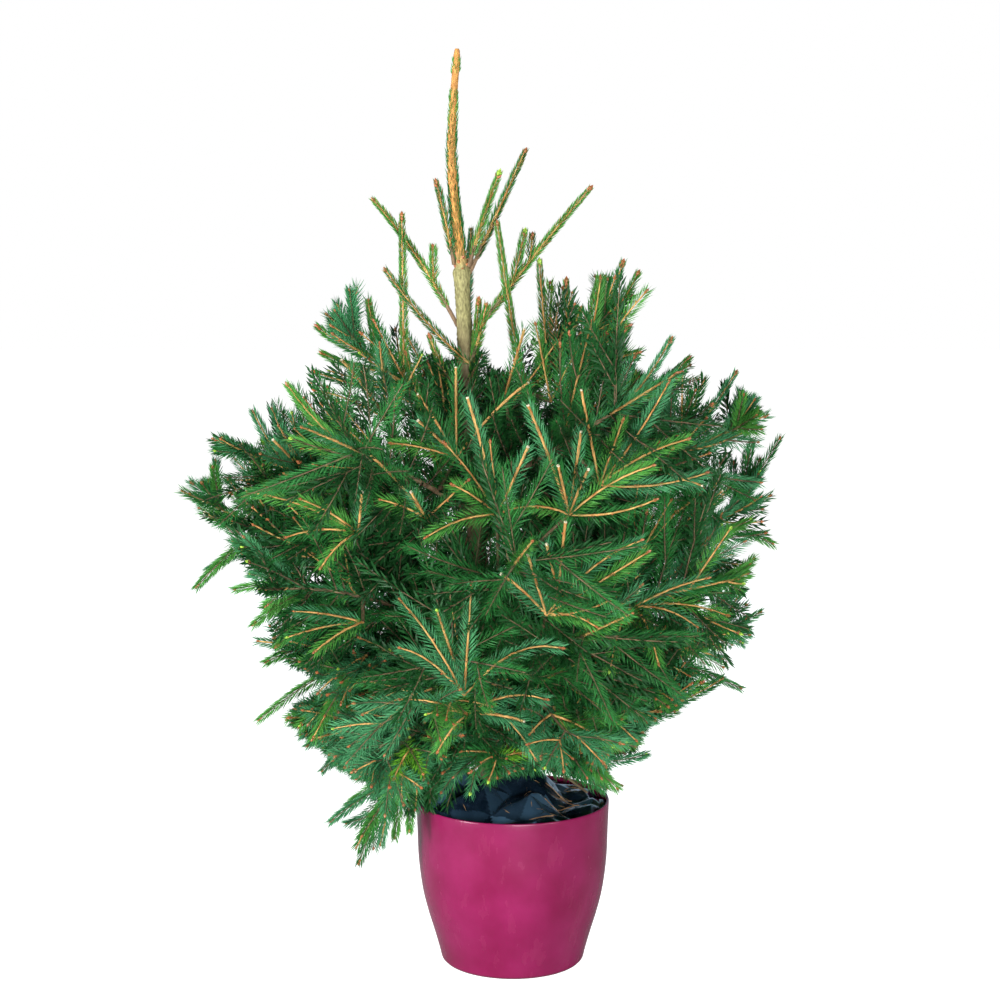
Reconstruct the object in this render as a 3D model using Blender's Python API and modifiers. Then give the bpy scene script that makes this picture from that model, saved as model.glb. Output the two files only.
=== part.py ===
"""Potted Norway spruce: plastic pot, film-wrapped root ball, leaning trunk, boughs and needle sprays.

Metres, +Z up. The origin is the middle of the pot's flat underside, and the front of the plant is
towards -Y. Azimuths turn from +X towards +Y. Every spray mass grows by one seeded rule: a stem, pairs
of side shoots at each year's node, and toothed blades of needles fused on.
"""
import math
import random

import bmesh
import bpy
from mathutils import Matrix, Vector
from mathutils.bvhtree import BVHTree
from mathutils.noise import noise

COLLECTION_NAME = "potted_norway_spruce"

# Clearance between two solids that touch, and between neighbouring sprays
GAP = 0.0003
SPRAY_CLEARANCE = 0.0012

# Pot: (outer radius, height) down its side, thin lip, flat closed underside
POT_HEIGHT = 0.220
POT_RIM_RADIUS = 0.130
POT_FOOT_RADIUS = 0.092
POT_WALL = 0.0032
POT_FLOOR = 0.0040
POT_LIP_ROUND = 0.0015
POT_CORNER = 0.0030
POT_PROFILE = ((POT_RIM_RADIUS, POT_HEIGHT - POT_LIP_ROUND), (0.1285, 0.180), (0.127, 0.140),
               (0.122, 0.100), (0.115, 0.070), (0.106, 0.040), (0.099, 0.015), (0.0965, 0.0045))
POT_INNER_HEIGHTS = (0.008, 0.070, 0.140, POT_HEIGHT - POT_LIP_ROUND)
ROUND_STEPS = 32
SMOOTH_ANGLE = 35

# Root ball: film wrapped, filling the pot, its (radius, height) top humped up to the trunk's foot
BALL_TOP = ((0.0, 0.226), (0.022, 0.225), (0.044, 0.222), (0.066, 0.219), (0.088, 0.214), (0.108, 0.208))
BALL_EDGE_HEIGHT = 0.204
BALL_SIDE_HEIGHTS = (0.140, 0.070, 0.009)
BALL_HUMP_BASE = 0.224
BALL_HUMP_REACH = 0.100
BALL_PLATEAU_RADIUS = 0.045
BALL_CRUMPLE = 0.0045
BALL_FOLDS = (38.0, 90.0)

# Trunk: axis points (x, z) and radius, from the flat cut on the root ball to the leader's tip
FOOT_X = -0.030
FOOT_HEIGHT = 0.2500
WHORL_HEIGHT = 0.925
TRUNK_AXIS = ((FOOT_X, FOOT_HEIGHT, 0.0185), (FOOT_X, FOOT_HEIGHT + 0.005, 0.0170),
              (-0.031, 0.268, 0.0145), (-0.034, 0.310, 0.0136), (-0.040, 0.430, 0.0128),
              (-0.050, 0.600, 0.0118), (-0.060, 0.780, 0.0106), (-0.066, 0.895, 0.0095),
              (-0.067, WHORL_HEIGHT, 0.0115), (-0.068, 0.940, 0.0072), (-0.077, 1.020, 0.0060),
              (-0.080, 1.080, 0.0054), (-0.077, 1.150, 0.0046), (-0.073, 1.200, 0.0042),
              (-0.0725, 1.212, 0.0026))

# Shoots and boughs: name, height on the trunk, azimuth, reach from the trunk, height of the tip,
# rise at the trunk. Lengths in mm, angles in degrees.
TOP_SHOOTS = (("top_left", 925, 195, 35, 1045, 72), ("top_right", 925, -25, 55, 1055, 66),
              ("top_far_right", 918, 8, 85, 1085, 60), ("top_back", 918, 100, 75, 1050, 60))
UPPER_SPRAYS = (("upper_left", 850, 183, 120, 1020, 60), ("upper_right", 835, 2, 165, 1035, 52),
                ("upper_front_right", 800, -62, 95, 975, 45), ("upper_front_left", 760, -140, 115, 985, 30),
                ("upper_back", 820, 88, 150, 985, 52), ("shoulder_left", 705, 178, 200, 880, 38),
                ("shoulder_right", 715, 4, 225, 905, 36), ("shoulder_back", 690, 118, 215, 850, 36))
BOUGHS = (("d_left", 570, 181, 360, 712, 20), ("d_right", 575, -3, 395, 745, 22),
          ("d_back_right", 620, 32, 370, 800, 28), ("d_front_right", 630, -38, 330, 810, 28),
          ("d_front_left", 610, -131, 325, 745, 26), ("d_back", 585, 86, 365, 720, 24),
          ("e_left", 465, 176, 415, 640, 20), ("e_left_low", 425, -163, 398, 500, 34),
          ("e_right", 470, 6, 405, 632, 18), ("e_right_low", 425, -20, 400, 550, 22),
          ("e_front", 470, -79, 345, 620, 26), ("e_back_left", 475, 132, 380, 590, 20),
          ("e_back_right", 470, 58, 380, 590, 20), ("f_left", 362, 170, 330, 425, 18),
          ("f_right", 365, 10, 375, 445, 16), ("f_front_right", 385, -56, 335, 525, 22),
          ("g_left", 305, 188, 310, 325, 16), ("g_right", 305, -8, 345, 365, 10),
          ("g_front", 300, -102, 295, 535, 34), ("g_low_left", 282, -154, 215, 138, 26),
          ("g_low_right", 285, -42, 250, 280, 14), ("g_back", 330, 98, 350, 400, 14))

# Centre lines and limbs: straight runs per line, and steps that seat its foot on the trunk
LINE_KNOTS = 9
KNOT_MARGIN = 0.005
START_CLIMB = 0.3
SEAT_STEPS = 12
RIM_TURN = 15
LIMB_SHARE = 0.35
LIMB_RADIUS = 0.0050
LIMB_TIP_RADIUS = 0.0028
STEM_TIP_RADIUS = 0.0012
STEM_OVERLAP = 0.022

# Growth rule of the sprays: years of growth, and the side shoots at each year's node. The spokes are
# angles round the stem from straight up: a whorl of three, then a pair, and one on slender shoots.
YEAR_GROWTH = 0.082
NODE_SHARE = 0.20
LEADING_YEARS = 0.85
SINGLE_SHOOT = 0.165
SINGLE_ROOT_SHARE = 0.12
SLENDER_HEIGHT = 0.93
WHORL_SPOKES = (90, -90, 0)
PAIR_SPOKES = (70, -70)
SLENDER_SPOKE = 75
SPOKE_SPREAD = 12
SIDE_ANGLE = 50
SIDE_ANGLE_SPREAD = 7
SIDE_SHARE = 0.66
SIDE_SPREAD = 0.1
SIDE_LENGTH = (0.085, 0.175)
SIDE_REACH = 0.95
SIDE_TRIM = 0.9
SIDE_LIFT = (0.05, 0.45)
NODE_STAGGER = 0.007

# Toothed blades: half width as a share of the length, with its limits for slender and full shoots
BLADE_SHAPE = 0.20
SLENDER_HALF_WIDTH = 0.013
FULL_HALF_WIDTH = 0.028
BLADE_THICKNESS = 0.0026
BLADE_ROLL = 40
LONG_BLADE = 0.140
TIP_STEPS = 0.9
TOOTH_SWEEP = 0.28
TOOTH_TAPER = 0.55
VALLEY_SHARE = 0.38


def clear_scene():
    """Remove every object that the session starts with."""
    for old in list(bpy.data.objects):
        bpy.data.objects.remove(old, do_unlink=True)


def make_material(name, colour, roughness):
    """A Principled material with a plain colour."""
    made = bpy.data.materials.new(name)
    made.use_nodes = True
    shader = made.node_tree.nodes["Principled BSDF"]
    shader.inputs["Base Color"].default_value = (*colour, 1.0)
    shader.inputs["Roughness"].default_value = roughness
    shader.inputs["Metallic"].default_value = 0.0
    made.diffuse_color = (*colour, 1.0)
    return made


def add_object(name, data, material=None):
    """Put a mesh or curve in the plant's collection."""
    made = bpy.data.objects.new(name, data)
    plant.objects.link(made)
    if material:
        data.materials.append(material)
    return made


def mesh_of(curve_object):
    """Turn a curve object into a closed mesh in world space, and remove the curve."""
    depsgraph = bpy.context.evaluated_depsgraph_get()
    mesh = bpy.data.meshes.new_from_object(curve_object.evaluated_get(depsgraph))
    mesh.transform(curve_object.matrix_world)
    work = bmesh.new()
    work.from_mesh(mesh)
    bmesh.ops.remove_doubles(work, verts=work.verts, dist=0.00001)
    bmesh.ops.triangulate(work, faces=work.faces)
    bmesh.ops.recalc_face_normals(work, faces=work.faces)
    work.to_mesh(mesh)
    work.free()
    curve = curve_object.data
    bpy.data.objects.remove(curve_object, do_unlink=True)
    bpy.data.curves.remove(curve)
    return mesh


def tube_mesh(points, radii, resolution):
    """A tapering tube with filled caps along a line of points."""
    curve = bpy.data.curves.new("tube", "CURVE")
    curve.dimensions = "3D"
    curve.bevel_depth = 1.0
    curve.bevel_resolution = resolution
    curve.use_fill_caps = True
    spline = curve.splines.new("POLY")
    spline.points.add(len(points) - 1)
    for knot, point, radius in zip(spline.points, points, radii):
        knot.co = (*point, 1.0)
        knot.radius = radius
    return mesh_of(add_object("tube", curve))


def turned(name, profile, material):
    """A solid of revolution: (radius, height) points, down the outer side and back up the inner one."""
    mesh = bpy.data.meshes.new(name)
    corners = [(radius, 0.0, height) for radius, height in profile]
    edges = [(i, i + 1) for i in range(len(profile) - 1)]
    mesh.from_pydata(corners, edges, [])
    made = add_object(name, mesh, material)
    screw = made.modifiers.new("turn", "SCREW")
    screw.axis = "Z"
    screw.steps = ROUND_STEPS
    screw.render_steps = ROUND_STEPS
    screw.use_merge_vertices = True
    screw.merge_threshold = 0.00001
    return made


def apply_modifiers(target):
    """Replace an object's mesh by what its modifiers make of it."""
    depsgraph = bpy.context.evaluated_depsgraph_get()
    mesh = bpy.data.meshes.new_from_object(target.evaluated_get(depsgraph))
    old = target.data
    target.modifiers.clear()
    target.data = mesh
    mesh.name = old.name
    bpy.data.meshes.remove(old)


def pot_inner_radius(height):
    """Radius of the pot's inner wall at a height."""
    lower = POT_PROFILE[-1]
    for upper in reversed(POT_PROFILE[:-1]):
        if height <= upper[1]:
            share = (height - lower[1]) / (upper[1] - lower[1])
            return lower[0] + share * (upper[0] - lower[0]) - POT_WALL
        lower = upper
    return lower[0] - POT_WALL


def build_pot():
    """The round pot: plain lip, curved wall, rounded foot, flat closed underside."""
    lip = (POT_RIM_RADIUS - POT_WALL / 2, POT_HEIGHT)
    foot = [(POT_FOOT_RADIUS, 0.0), (0.0, 0.0)]
    floor = [(0.0, POT_FLOOR), (pot_inner_radius(POT_INNER_HEIGHTS[0]) - POT_CORNER, POT_FLOOR)]
    inner = [(pot_inner_radius(height), height) for height in POT_INNER_HEIGHTS]
    profile = [lip, *POT_PROFILE, *foot, *floor, *inner, lip]
    pot = turned("pot", profile, make_material("magenta_plastic", (0.32, 0.012, 0.055), 0.32))
    apply_modifiers(pot)
    pot.data.shade_smooth()
    pot.data.set_sharp_from_angle(angle=math.radians(SMOOTH_ANGLE))
    return pot


def build_root_ball():
    """The film-wrapped root ball: it fills the pot, and its crumpled top humps up to the foot."""
    plateau = FOOT_HEIGHT - GAP
    rim = (pot_inner_radius(BALL_EDGE_HEIGHT) - BALL_CRUMPLE / 2, BALL_EDGE_HEIGHT - BALL_CRUMPLE)
    sides = [(pot_inner_radius(height) - GAP, height) for height in BALL_SIDE_HEIGHTS]
    floor = [(sides[-1][0] - 2 * POT_CORNER, POT_FLOOR + GAP), (0.0, POT_FLOOR + GAP)]
    profile = [*BALL_TOP, rim, *sides, *floor]
    ball = turned("root_ball", profile, make_material("black_film", (0.012, 0.013, 0.016), 0.22))
    apply_modifiers(ball)
    for vertex in ball.data.vertices:
        x, y, z = vertex.co
        if z <= BALL_SIDE_HEIGHTS[-1]:
            continue
        fold = noise(vertex.co * BALL_FOLDS[0]) + 0.5 * noise(vertex.co * BALL_FOLDS[1])
        if z < BALL_EDGE_HEIGHT:
            shrink = BALL_CRUMPLE / 2 * max(0.0, fold) / math.hypot(x, y)
            vertex.co.x -= x * shrink
            vertex.co.y -= y * shrink
            continue
        offset = math.hypot(x - FOOT_X, y)
        hump = max(0.0, 1.0 - (offset / BALL_HUMP_REACH) ** 2)
        height = z + (plateau - BALL_HUMP_BASE) * hump + BALL_CRUMPLE * fold
        vertex.co.z = plateau if offset < BALL_PLATEAU_RADIUS else min(height, plateau)
    return ball


def trunk_centre(height):
    """Point of the trunk's axis, and its radius, at a height."""
    lower = TRUNK_AXIS[0]
    for upper in TRUNK_AXIS[1:]:
        if height <= upper[1]:
            break
        lower = upper
    share = (height - lower[1]) / (upper[1] - lower[1])
    x = lower[0] + share * (upper[0] - lower[0])
    radius = lower[2] + share * (upper[2] - lower[2])
    return Vector((x, 0.0, height)), radius


def build_trunk():
    """One whole tapering trunk, from its flat cut and root flare to the leader's tip."""
    points = [Vector((x, 0.0, z)) for x, z, radius in TRUNK_AXIS]
    radii = [radius for x, z, radius in TRUNK_AXIS]
    return add_object("trunk", tube_mesh(points, radii, 4), make_material("bark", (0.16, 0.10, 0.055), 0.85))


class Line:
    """The centre line of a bough and its spray: a quadratic curve from the trunk out to the tip."""

    def __init__(self, row, start_radius, trunk_tree):
        name, height, azimuth, reach, tip_height, rise = row
        self.name = name
        self.reach = reach * 0.001
        self.axis, trunk_radius = trunk_centre(height * 0.001)
        outward = Vector((math.cos(math.radians(azimuth)), math.sin(math.radians(azimuth)), 0.0))
        climb = Vector((0.0, 0.0, math.tan(math.radians(rise))))
        control = self.axis + (outward + climb) * self.reach / 2
        self.tip = self.axis + outward * self.reach
        self.tip.z = tip_height * 0.001
        inset = trunk_radius + 2.0 * start_radius
        for step in range(SEAT_STEPS):
            start = self.axis + (outward + climb * START_CLIMB) * inset
            shares = [i / LINE_KNOTS for i in range(LINE_KNOTS + 1)]
            self.knots = [start * (1 - t) ** 2 + control * (2 * t * (1 - t)) + self.tip * t ** 2
                          for t in shares]
            inset -= self.seat_gap(start_radius, trunk_tree) - GAP
        self.length = sum((b - a).length for a, b in zip(self.knots, self.knots[1:]))
        self.slender = self.tip.z > SLENDER_HEIGHT
        self.single = self.length < SINGLE_SHOOT

    def seat_gap(self, radius, trunk_tree):
        """Smallest distance from the rim of the line's first cap to the trunk."""
        heading = (self.knots[1] - self.knots[0]).normalized()
        across = heading.orthogonal().normalized()
        rim = [self.knots[0] + Matrix.Rotation(math.radians(turn), 3, heading) @ across * radius
               for turn in range(0, 360, RIM_TURN)]
        return min(trunk_tree.find_nearest(point)[3] for point in rim)

    def reach_of(self, point):
        """How far out from the trunk a point is."""
        return math.hypot(point.x - self.axis.x, point.y - self.axis.y)

    def at(self, share):
        """Point at a share of the way, and the direction there."""
        index = min(int(share * LINE_KNOTS), LINE_KNOTS - 1)
        here, there = self.knots[index], self.knots[index + 1]
        return here.lerp(there, share * LINE_KNOTS - index), (there - here).normalized()

    def run(self, first, last):
        """The points from one share of the way to another."""
        inner = [i / LINE_KNOTS for i in range(1, LINE_KNOTS)]
        between = [share for share in inner if first + KNOT_MARGIN < share < last - KNOT_MARGIN]
        return [self.at(share)[0] for share in [first, *between, last]]


def taper(count, first, last):
    """Evenly falling radii for a number of points."""
    return [first + (last - first) * i / (count - 1) for i in range(count)]


def build_bough(line, material):
    """One tapering limb, from the trunk to where it enters its mass."""
    points = line.run(0.0, LIMB_SHARE)
    mesh = tube_mesh(points, taper(len(points), LIMB_RADIUS, LIMB_TIP_RADIUS), 1)
    return add_object("bough_" + line.name, mesh, material)


def blade_outline(length, half_width, teeth):
    """Corners of a toothed blade along +X: needle points swept forward on both sides of the shoot."""
    step = length / (teeth + TIP_STEPS)
    side = []
    for tooth in range(teeth):
        spread = half_width * (1.0 - TOOTH_TAPER * tooth / teeth)
        side.append(((tooth + 1.0 + TOOTH_SWEEP) * step, spread))
        if tooth < teeth - 1:
            side.append(((tooth + 1.0) * step, spread * VALLEY_SHARE))
    return [(0.0, 0.0)] + side + [(length, 0.0)] + [(x, -y) for x, y in reversed(side)]


def blade_mesh(length, half_width, teeth):
    """A toothed blade: a flat outline given its thickness."""
    curve = bpy.data.curves.new("blade", "CURVE")
    curve.dimensions = "2D"
    curve.fill_mode = "BOTH"
    curve.extrude = BLADE_THICKNESS / 2
    outline = blade_outline(length, half_width, teeth)
    spline = curve.splines.new("POLY")
    spline.points.add(len(outline) - 1)
    for knot, (x, y) in zip(spline.points, outline):
        knot.co = (x, y, 0.0, 1.0)
    spline.use_cyclic_u = True
    return mesh_of(add_object("blade", curve))


def frame_at(point, heading, up, roll):
    """Matrix that lays +X along a heading, with +Z as near to up as it can be."""
    side = up.cross(heading).normalized()
    normal = heading.cross(side)
    turn = Matrix((heading, side, normal)).transposed().to_4x4()
    return Matrix.Translation(point) @ turn @ Matrix.Rotation(roll, 4, "X")


def year_count(line, start_share):
    """How many years of growth a mass spans."""
    return max(1, round(line.length * (1.0 - start_share) / YEAR_GROWTH))


def leading_share(line, start_share):
    """Where along its line a mass's leading shoot is rooted."""
    if line.single:
        return start_share + SINGLE_ROOT_SHARE
    return 1.0 - LEADING_YEARS / year_count(line, start_share) * (1.0 - start_share)


def spray_shoots(line, start_share, seed):
    """The growth rule: every shoot of a mass as (root, heading, up, length, roll), the leading one first."""
    draw = random.Random(seed)
    years = year_count(line, start_share)
    root_share = leading_share(line, start_share)
    root = line.at(root_share)[0]
    heading = (line.tip - root).normalized()
    side = Vector((0, 0, 1)).cross(heading).normalized()
    roll = draw.uniform(-BLADE_ROLL, BLADE_ROLL)
    shoots = [(root, heading, heading.cross(side), (line.tip - root).length, roll)]
    if line.single:
        return shoots
    for year in range(years):
        share = start_share + (1.0 - start_share) * (year + NODE_SHARE) / years
        heading = line.at(share)[1]
        side = Vector((0, 0, 1)).cross(heading).normalized()
        up = heading.cross(side)
        spokes = PAIR_SPOKES if year % 2 else WHORL_SPOKES
        if line.slender:
            spokes = (SLENDER_SPOKE * (-1) ** (year + seed),)
        for rank, spoke in enumerate(spokes):
            angle = math.radians(SIDE_ANGLE + draw.uniform(-SIDE_ANGLE_SPREAD, SIDE_ANGLE_SPREAD))
            turn = math.radians(spoke + draw.uniform(-SPOKE_SPREAD, SPOKE_SPREAD))
            away = side * math.sin(turn) + up * (math.cos(turn) + draw.uniform(*SIDE_LIFT))
            out = (heading * math.cos(angle) + away.normalized() * math.sin(angle)).normalized()
            length = line.length * (1.0 - share) * SIDE_SHARE
            length *= draw.uniform(1.0 - SIDE_SPREAD, 1.0 + SIDE_SPREAD)
            length = min(max(length, SIDE_LENGTH[0]), SIDE_LENGTH[1])
            root = line.at(share + (rank + draw.uniform(-0.1, 0.1)) * NODE_STAGGER / line.length)[0]
            while not line.slender and line.reach_of(root + out * length) > line.reach * SIDE_REACH:
                length *= SIDE_TRIM
            shoots.append((root, out, up, length, draw.uniform(-BLADE_ROLL, BLADE_ROLL)))
    return shoots


class Space:
    """What is already taken: the limbs, and the pieces of the other masses."""

    def __init__(self):
        self.taken = []

    def box(self, corners):
        """Lowest and highest corner of a set of points."""
        low = [min(c[i] for c in corners) for i in range(3)]
        high = [max(c[i] for c in corners) for i in range(3)]
        return low, high

    def add(self, owner, mesh, matrix):
        """Record a piece."""
        corners = [matrix @ v.co for v in mesh.vertices]
        faces = [tuple(p.vertices) for p in mesh.polygons]
        self.taken.append((owner, self.box(corners), BVHTree.FromPolygons(corners, faces)))

    def is_free(self, owner, mesh, matrix):
        """Whether a slightly swollen piece would touch nothing of another owner."""
        corners = [matrix @ (v.co + v.normal * SPRAY_CLEARANCE) for v in mesh.vertices]
        faces = [tuple(p.vertices) for p in mesh.polygons]
        tree = BVHTree.FromPolygons(corners, faces)
        low, high = self.box(corners)
        for other, (other_low, other_high), other_tree in self.taken:
            if other == owner:
                continue
            if any(low[i] > other_high[i] or high[i] < other_low[i] for i in range(3)):
                continue
            if tree.overlap(other_tree):
                return False
        return True


class Mass:
    """One foliage mass: a stem, its side twigs and toothed blades, joined to one solid."""

    def __init__(self, line, start_share, seed, material):
        self.name = "spray_" + line.name
        self.material = material
        self.line = line
        self.pieces = []
        self.shoots = spray_shoots(line, start_share, seed)
        points = line.run(start_share, leading_share(line, start_share) + STEM_OVERLAP / line.length)
        points[0] = points[0] + (points[1] - points[0]).normalized() * GAP
        self.stem = tube_mesh(points, taper(len(points), LIMB_TIP_RADIUS, STEM_TIP_RADIUS), 0)

    def offer(self, shoot, space):
        """Grow one shoot where there is room for it."""
        root, heading, up, length, roll = shoot
        teeth = 3 if length > LONG_BLADE else 2
        widest = SLENDER_HALF_WIDTH if self.line.slender else FULL_HALF_WIDTH
        blade = blade_mesh(length, min(length * BLADE_SHAPE, widest), teeth)
        matrix = frame_at(root, heading, up, math.radians(roll))
        if space.is_free(self.name, blade, matrix):
            space.add(self.name, blade, matrix)
            self.pieces.append((blade, matrix))

    def join(self):
        """Fuse the pieces by one Boolean union, and remove them."""
        base = add_object(self.name, self.stem, self.material)
        group = bpy.data.collections.new(self.name + "_pieces")
        bpy.context.scene.collection.children.link(group)
        for mesh, matrix in self.pieces:
            piece = bpy.data.objects.new("piece", mesh)
            piece.matrix_world = matrix
            group.objects.link(piece)
        union = base.modifiers.new("union", "BOOLEAN")
        union.operation = "UNION"
        union.operand_type = "COLLECTION"
        union.collection = group
        union.solver = "MANIFOLD"
        bpy.context.view_layer.update()
        apply_modifiers(base)
        for piece in list(group.objects):
            bpy.data.objects.remove(piece, do_unlink=True)
        bpy.data.collections.remove(group)


clear_scene()
plant = bpy.data.collections.new(COLLECTION_NAME)
bpy.context.scene.collection.children.link(plant)
bark = make_material("bough_bark", (0.19, 0.12, 0.06), 0.8)
needles = make_material("needles", (0.030, 0.085, 0.035), 0.55)

trunk = build_trunk()
trunk_tree = BVHTree.FromObject(trunk, bpy.context.evaluated_depsgraph_get())
limbs = [build_pot(), build_root_ball(), trunk]
masses = []
rows = [(row, 0.0) for row in TOP_SHOOTS + UPPER_SPRAYS] + [(row, LIMB_SHARE) for row in BOUGHS]
for seed, (row, share) in enumerate(rows):
    line = Line(row, LIMB_RADIUS if share else LIMB_TIP_RADIUS, trunk_tree)
    if share:
        limbs.append(build_bough(line, bark))
    masses.append(Mass(line, share, seed, needles))

space = Space()
for limb in limbs:
    space.add("limb", limb.data, Matrix.Identity(4))
for mass in masses:
    space.add(mass.name, mass.stem, Matrix.Identity(4))
for rank in range(max(len(mass.shoots) for mass in masses)):
    for mass in masses:
        if rank < len(mass.shoots):
            mass.offer(mass.shoots[rank], space)
for mass in masses:
    mass.join()
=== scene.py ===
"""Looks of the potted Norway spruce: bark, twigs, needles, buds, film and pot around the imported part.

Metres, +Z up, the front of the plant towards -Y. The sections follow the plant as it is put together,
from the pot up to the cut shoots, and the studio comes last.
"""
import random
from math import cos, hypot, pi, radians, sin, sqrt, tan, tau

import bpy
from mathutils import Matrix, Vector
from mathutils.bvhtree import BVHTree
from mathutils.geometry import delaunay_2d_cdt
from mathutils.noise import noise


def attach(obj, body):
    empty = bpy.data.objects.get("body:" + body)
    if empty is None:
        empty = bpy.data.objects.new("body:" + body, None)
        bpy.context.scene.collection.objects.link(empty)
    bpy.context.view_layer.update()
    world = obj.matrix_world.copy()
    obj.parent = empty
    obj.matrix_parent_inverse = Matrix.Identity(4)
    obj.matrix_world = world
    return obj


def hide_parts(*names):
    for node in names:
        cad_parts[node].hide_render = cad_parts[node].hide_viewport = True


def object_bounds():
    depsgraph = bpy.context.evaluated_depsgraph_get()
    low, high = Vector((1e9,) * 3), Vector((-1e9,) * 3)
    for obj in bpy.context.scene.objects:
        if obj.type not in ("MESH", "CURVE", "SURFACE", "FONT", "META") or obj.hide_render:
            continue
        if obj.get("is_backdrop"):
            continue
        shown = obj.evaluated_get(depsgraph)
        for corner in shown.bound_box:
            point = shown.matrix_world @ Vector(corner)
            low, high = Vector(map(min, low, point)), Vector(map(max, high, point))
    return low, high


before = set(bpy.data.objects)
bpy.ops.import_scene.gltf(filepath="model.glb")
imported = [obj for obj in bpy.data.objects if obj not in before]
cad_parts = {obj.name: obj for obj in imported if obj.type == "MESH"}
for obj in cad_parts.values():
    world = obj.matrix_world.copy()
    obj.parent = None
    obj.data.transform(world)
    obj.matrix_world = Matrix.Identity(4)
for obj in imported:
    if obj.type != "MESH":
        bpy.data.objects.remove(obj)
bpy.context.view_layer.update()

BOX_LOW, BOX_HIGH = (Vector(corner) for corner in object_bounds())
UP = Vector((0.0, 0.0, 1.0))


# Pot: an injection-moulded plastic planter, semi-gloss raspberry, with a plain thin lip, a rounded
# foot and a shallow recess under its base. Its skin is faintly mottled, scuffed and rubbed.
POT_HEIGHT = 0.220
POT_WALL = 0.0032
POT_SIDE = ((0.0950, 0.0022), (0.0965, 0.0045), (0.0990, 0.0150), (0.1060, 0.0400), (0.1150, 0.0700),
            (0.1220, 0.1000), (0.1270, 0.1400), (0.1285, 0.1800), (0.1300, 0.2180))
POT_UNDERSIDE = ((0.0, 0.0016), (0.078, 0.0016), (0.081, 0.0003), (0.084, 0.0), (0.0915, 0.0),
                 (0.0935, 0.0006))
POT_LIP = ((0.12985, 0.2191), (0.1292, 0.2199), (0.1284, 0.2200), (0.1275, 0.2197), (0.12695, 0.2189))
POT_FLOOR = ((0.088, 0.0045), (0.084, 0.0040), (0.0, 0.0040))
INNER_FOOT = 0.008
POT_TURNS = 128
SIDE_STEPS = 5
RASPBERRY_DEEP = (0.150, 0.0045, 0.042, 1.0)
RASPBERRY_PALE = (0.195, 0.0090, 0.064, 1.0)
RASPBERRY_WORN = (0.46, 0.10, 0.17, 1.0)


def fit_node(tree, kind, feeds=None, **settings):
    """Add a node, set it up, and feed its inputs with values or with other nodes' outputs."""
    made = tree.nodes.new(kind)
    for name, value in settings.items():
        setattr(made, name, value)
    for place, value in (feeds or {}).items():
        if isinstance(value, bpy.types.NodeSocket):
            tree.links.new(value, made.inputs[place])
        else:
            made.inputs[place].default_value = value
    return made


def new_finish(name, gloss, values=None):
    """A material with one shader, whose plain values sit on its own sockets."""
    made = bpy.data.materials.new(name)
    made.use_nodes = True
    shader = made.node_tree.nodes["Principled BSDF"]
    for socket, value in {"Specular IOR Level": gloss, **(values or {})}.items():
        shader.inputs[socket].default_value = value
    return made, made.node_tree, shader


def new_effect(name, inputs, outputs):
    """A shader node group with its named inputs and outputs; gives it and what feeds its inside."""
    made = bpy.data.node_groups.new(name, "ShaderNodeTree")
    for socket, kind, value in inputs:
        row = made.interface.new_socket(socket, in_out="INPUT", socket_type="NodeSocket" + kind)
        row.default_value = value
    for socket, kind in outputs:
        made.interface.new_socket(socket, in_out="OUTPUT", socket_type="NodeSocket" + kind)
    return made, fit_node(made, "NodeGroupInput").outputs


def spread(tree, value, low, high, start=0.0, end=1.0):
    """A value that runs from start to end made into one from low to high."""
    feeds = {"Value": value, "From Min": start, "From Max": end, "To Min": low, "To Max": high}
    return fit_node(tree, "ShaderNodeMapRange", feeds).outputs["Result"]


# the effect of soft patches on a piece's own coordinates, spread from 0 to 1
soft_patches, wires = new_effect("soft_patches", (
    ("Scale", "Float", 20.0), ("Detail", "Float", 4.0), ("Low", "Float", 0.35), ("High", "Float", 0.65),
    ("Stretch", "Vector", (1.0, 1.0, 1.0))), (("Mask", "Float"),))
place = fit_node(soft_patches, "ShaderNodeTexCoord").outputs["Object"]
laid = fit_node(soft_patches, "ShaderNodeMapping", {"Vector": place, "Scale": wires["Stretch"]}).outputs[0]
feeds = {"Vector": laid, "Scale": wires["Scale"], "Detail": wires["Detail"]}
cloud = fit_node(soft_patches, "ShaderNodeTexNoise", feeds).outputs["Fac"]
mask = spread(soft_patches, cloud, 0.0, 1.0, wires["Low"], wires["High"])
fit_node(soft_patches, "NodeGroupOutput", {"Mask": mask})


def patches(tree, scale, detail, low, high, stretch=(1.0, 1.0, 1.0)):
    """Place the effect of soft patches with its own values."""
    feeds = {"Scale": scale, "Detail": detail, "Low": low, "High": high, "Stretch": stretch}
    return fit_node(tree, "ShaderNodeGroup", feeds, node_tree=soft_patches).outputs["Mask"]


def blend_tones(tree, mask, first, second):
    """One tone where the mask is 0 and the other where it is 1."""
    feeds = {"Factor": mask, 6: first, 7: second}
    return fit_node(tree, "ShaderNodeMix", feeds, data_type="RGBA").outputs[2]


def paint(tree, shader, tone, mask, low, high):
    """Give a shader its colour, and a roughness that follows a mask from low to high."""
    tree.links.new(tone, shader.inputs["Base Color"])
    tree.links.new(spread(tree, mask, low, high), shader.inputs["Roughness"])


def raise_skin(tree, shader, height, distance):
    """Fine relief of the surface."""
    bump = fit_node(tree, "ShaderNodeBump", {"Height": height, "Strength": 1.0, "Distance": distance})
    tree.links.new(bump.outputs["Normal"], shader.inputs["Normal"])


def add_object(name, data):
    """A new object in the scene."""
    made = bpy.data.objects.new(name, data)
    bpy.context.scene.collection.objects.link(made)
    return made


def place_piece(name, mesh, finish, nodes=()):
    """Set a finished mesh on the plant's one body and the plain solids it stands for."""
    made = add_object(name, mesh)
    mesh.materials.clear()
    mesh.materials.append(finish)
    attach(made, "root")
    if nodes:
        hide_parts(*nodes)


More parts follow.
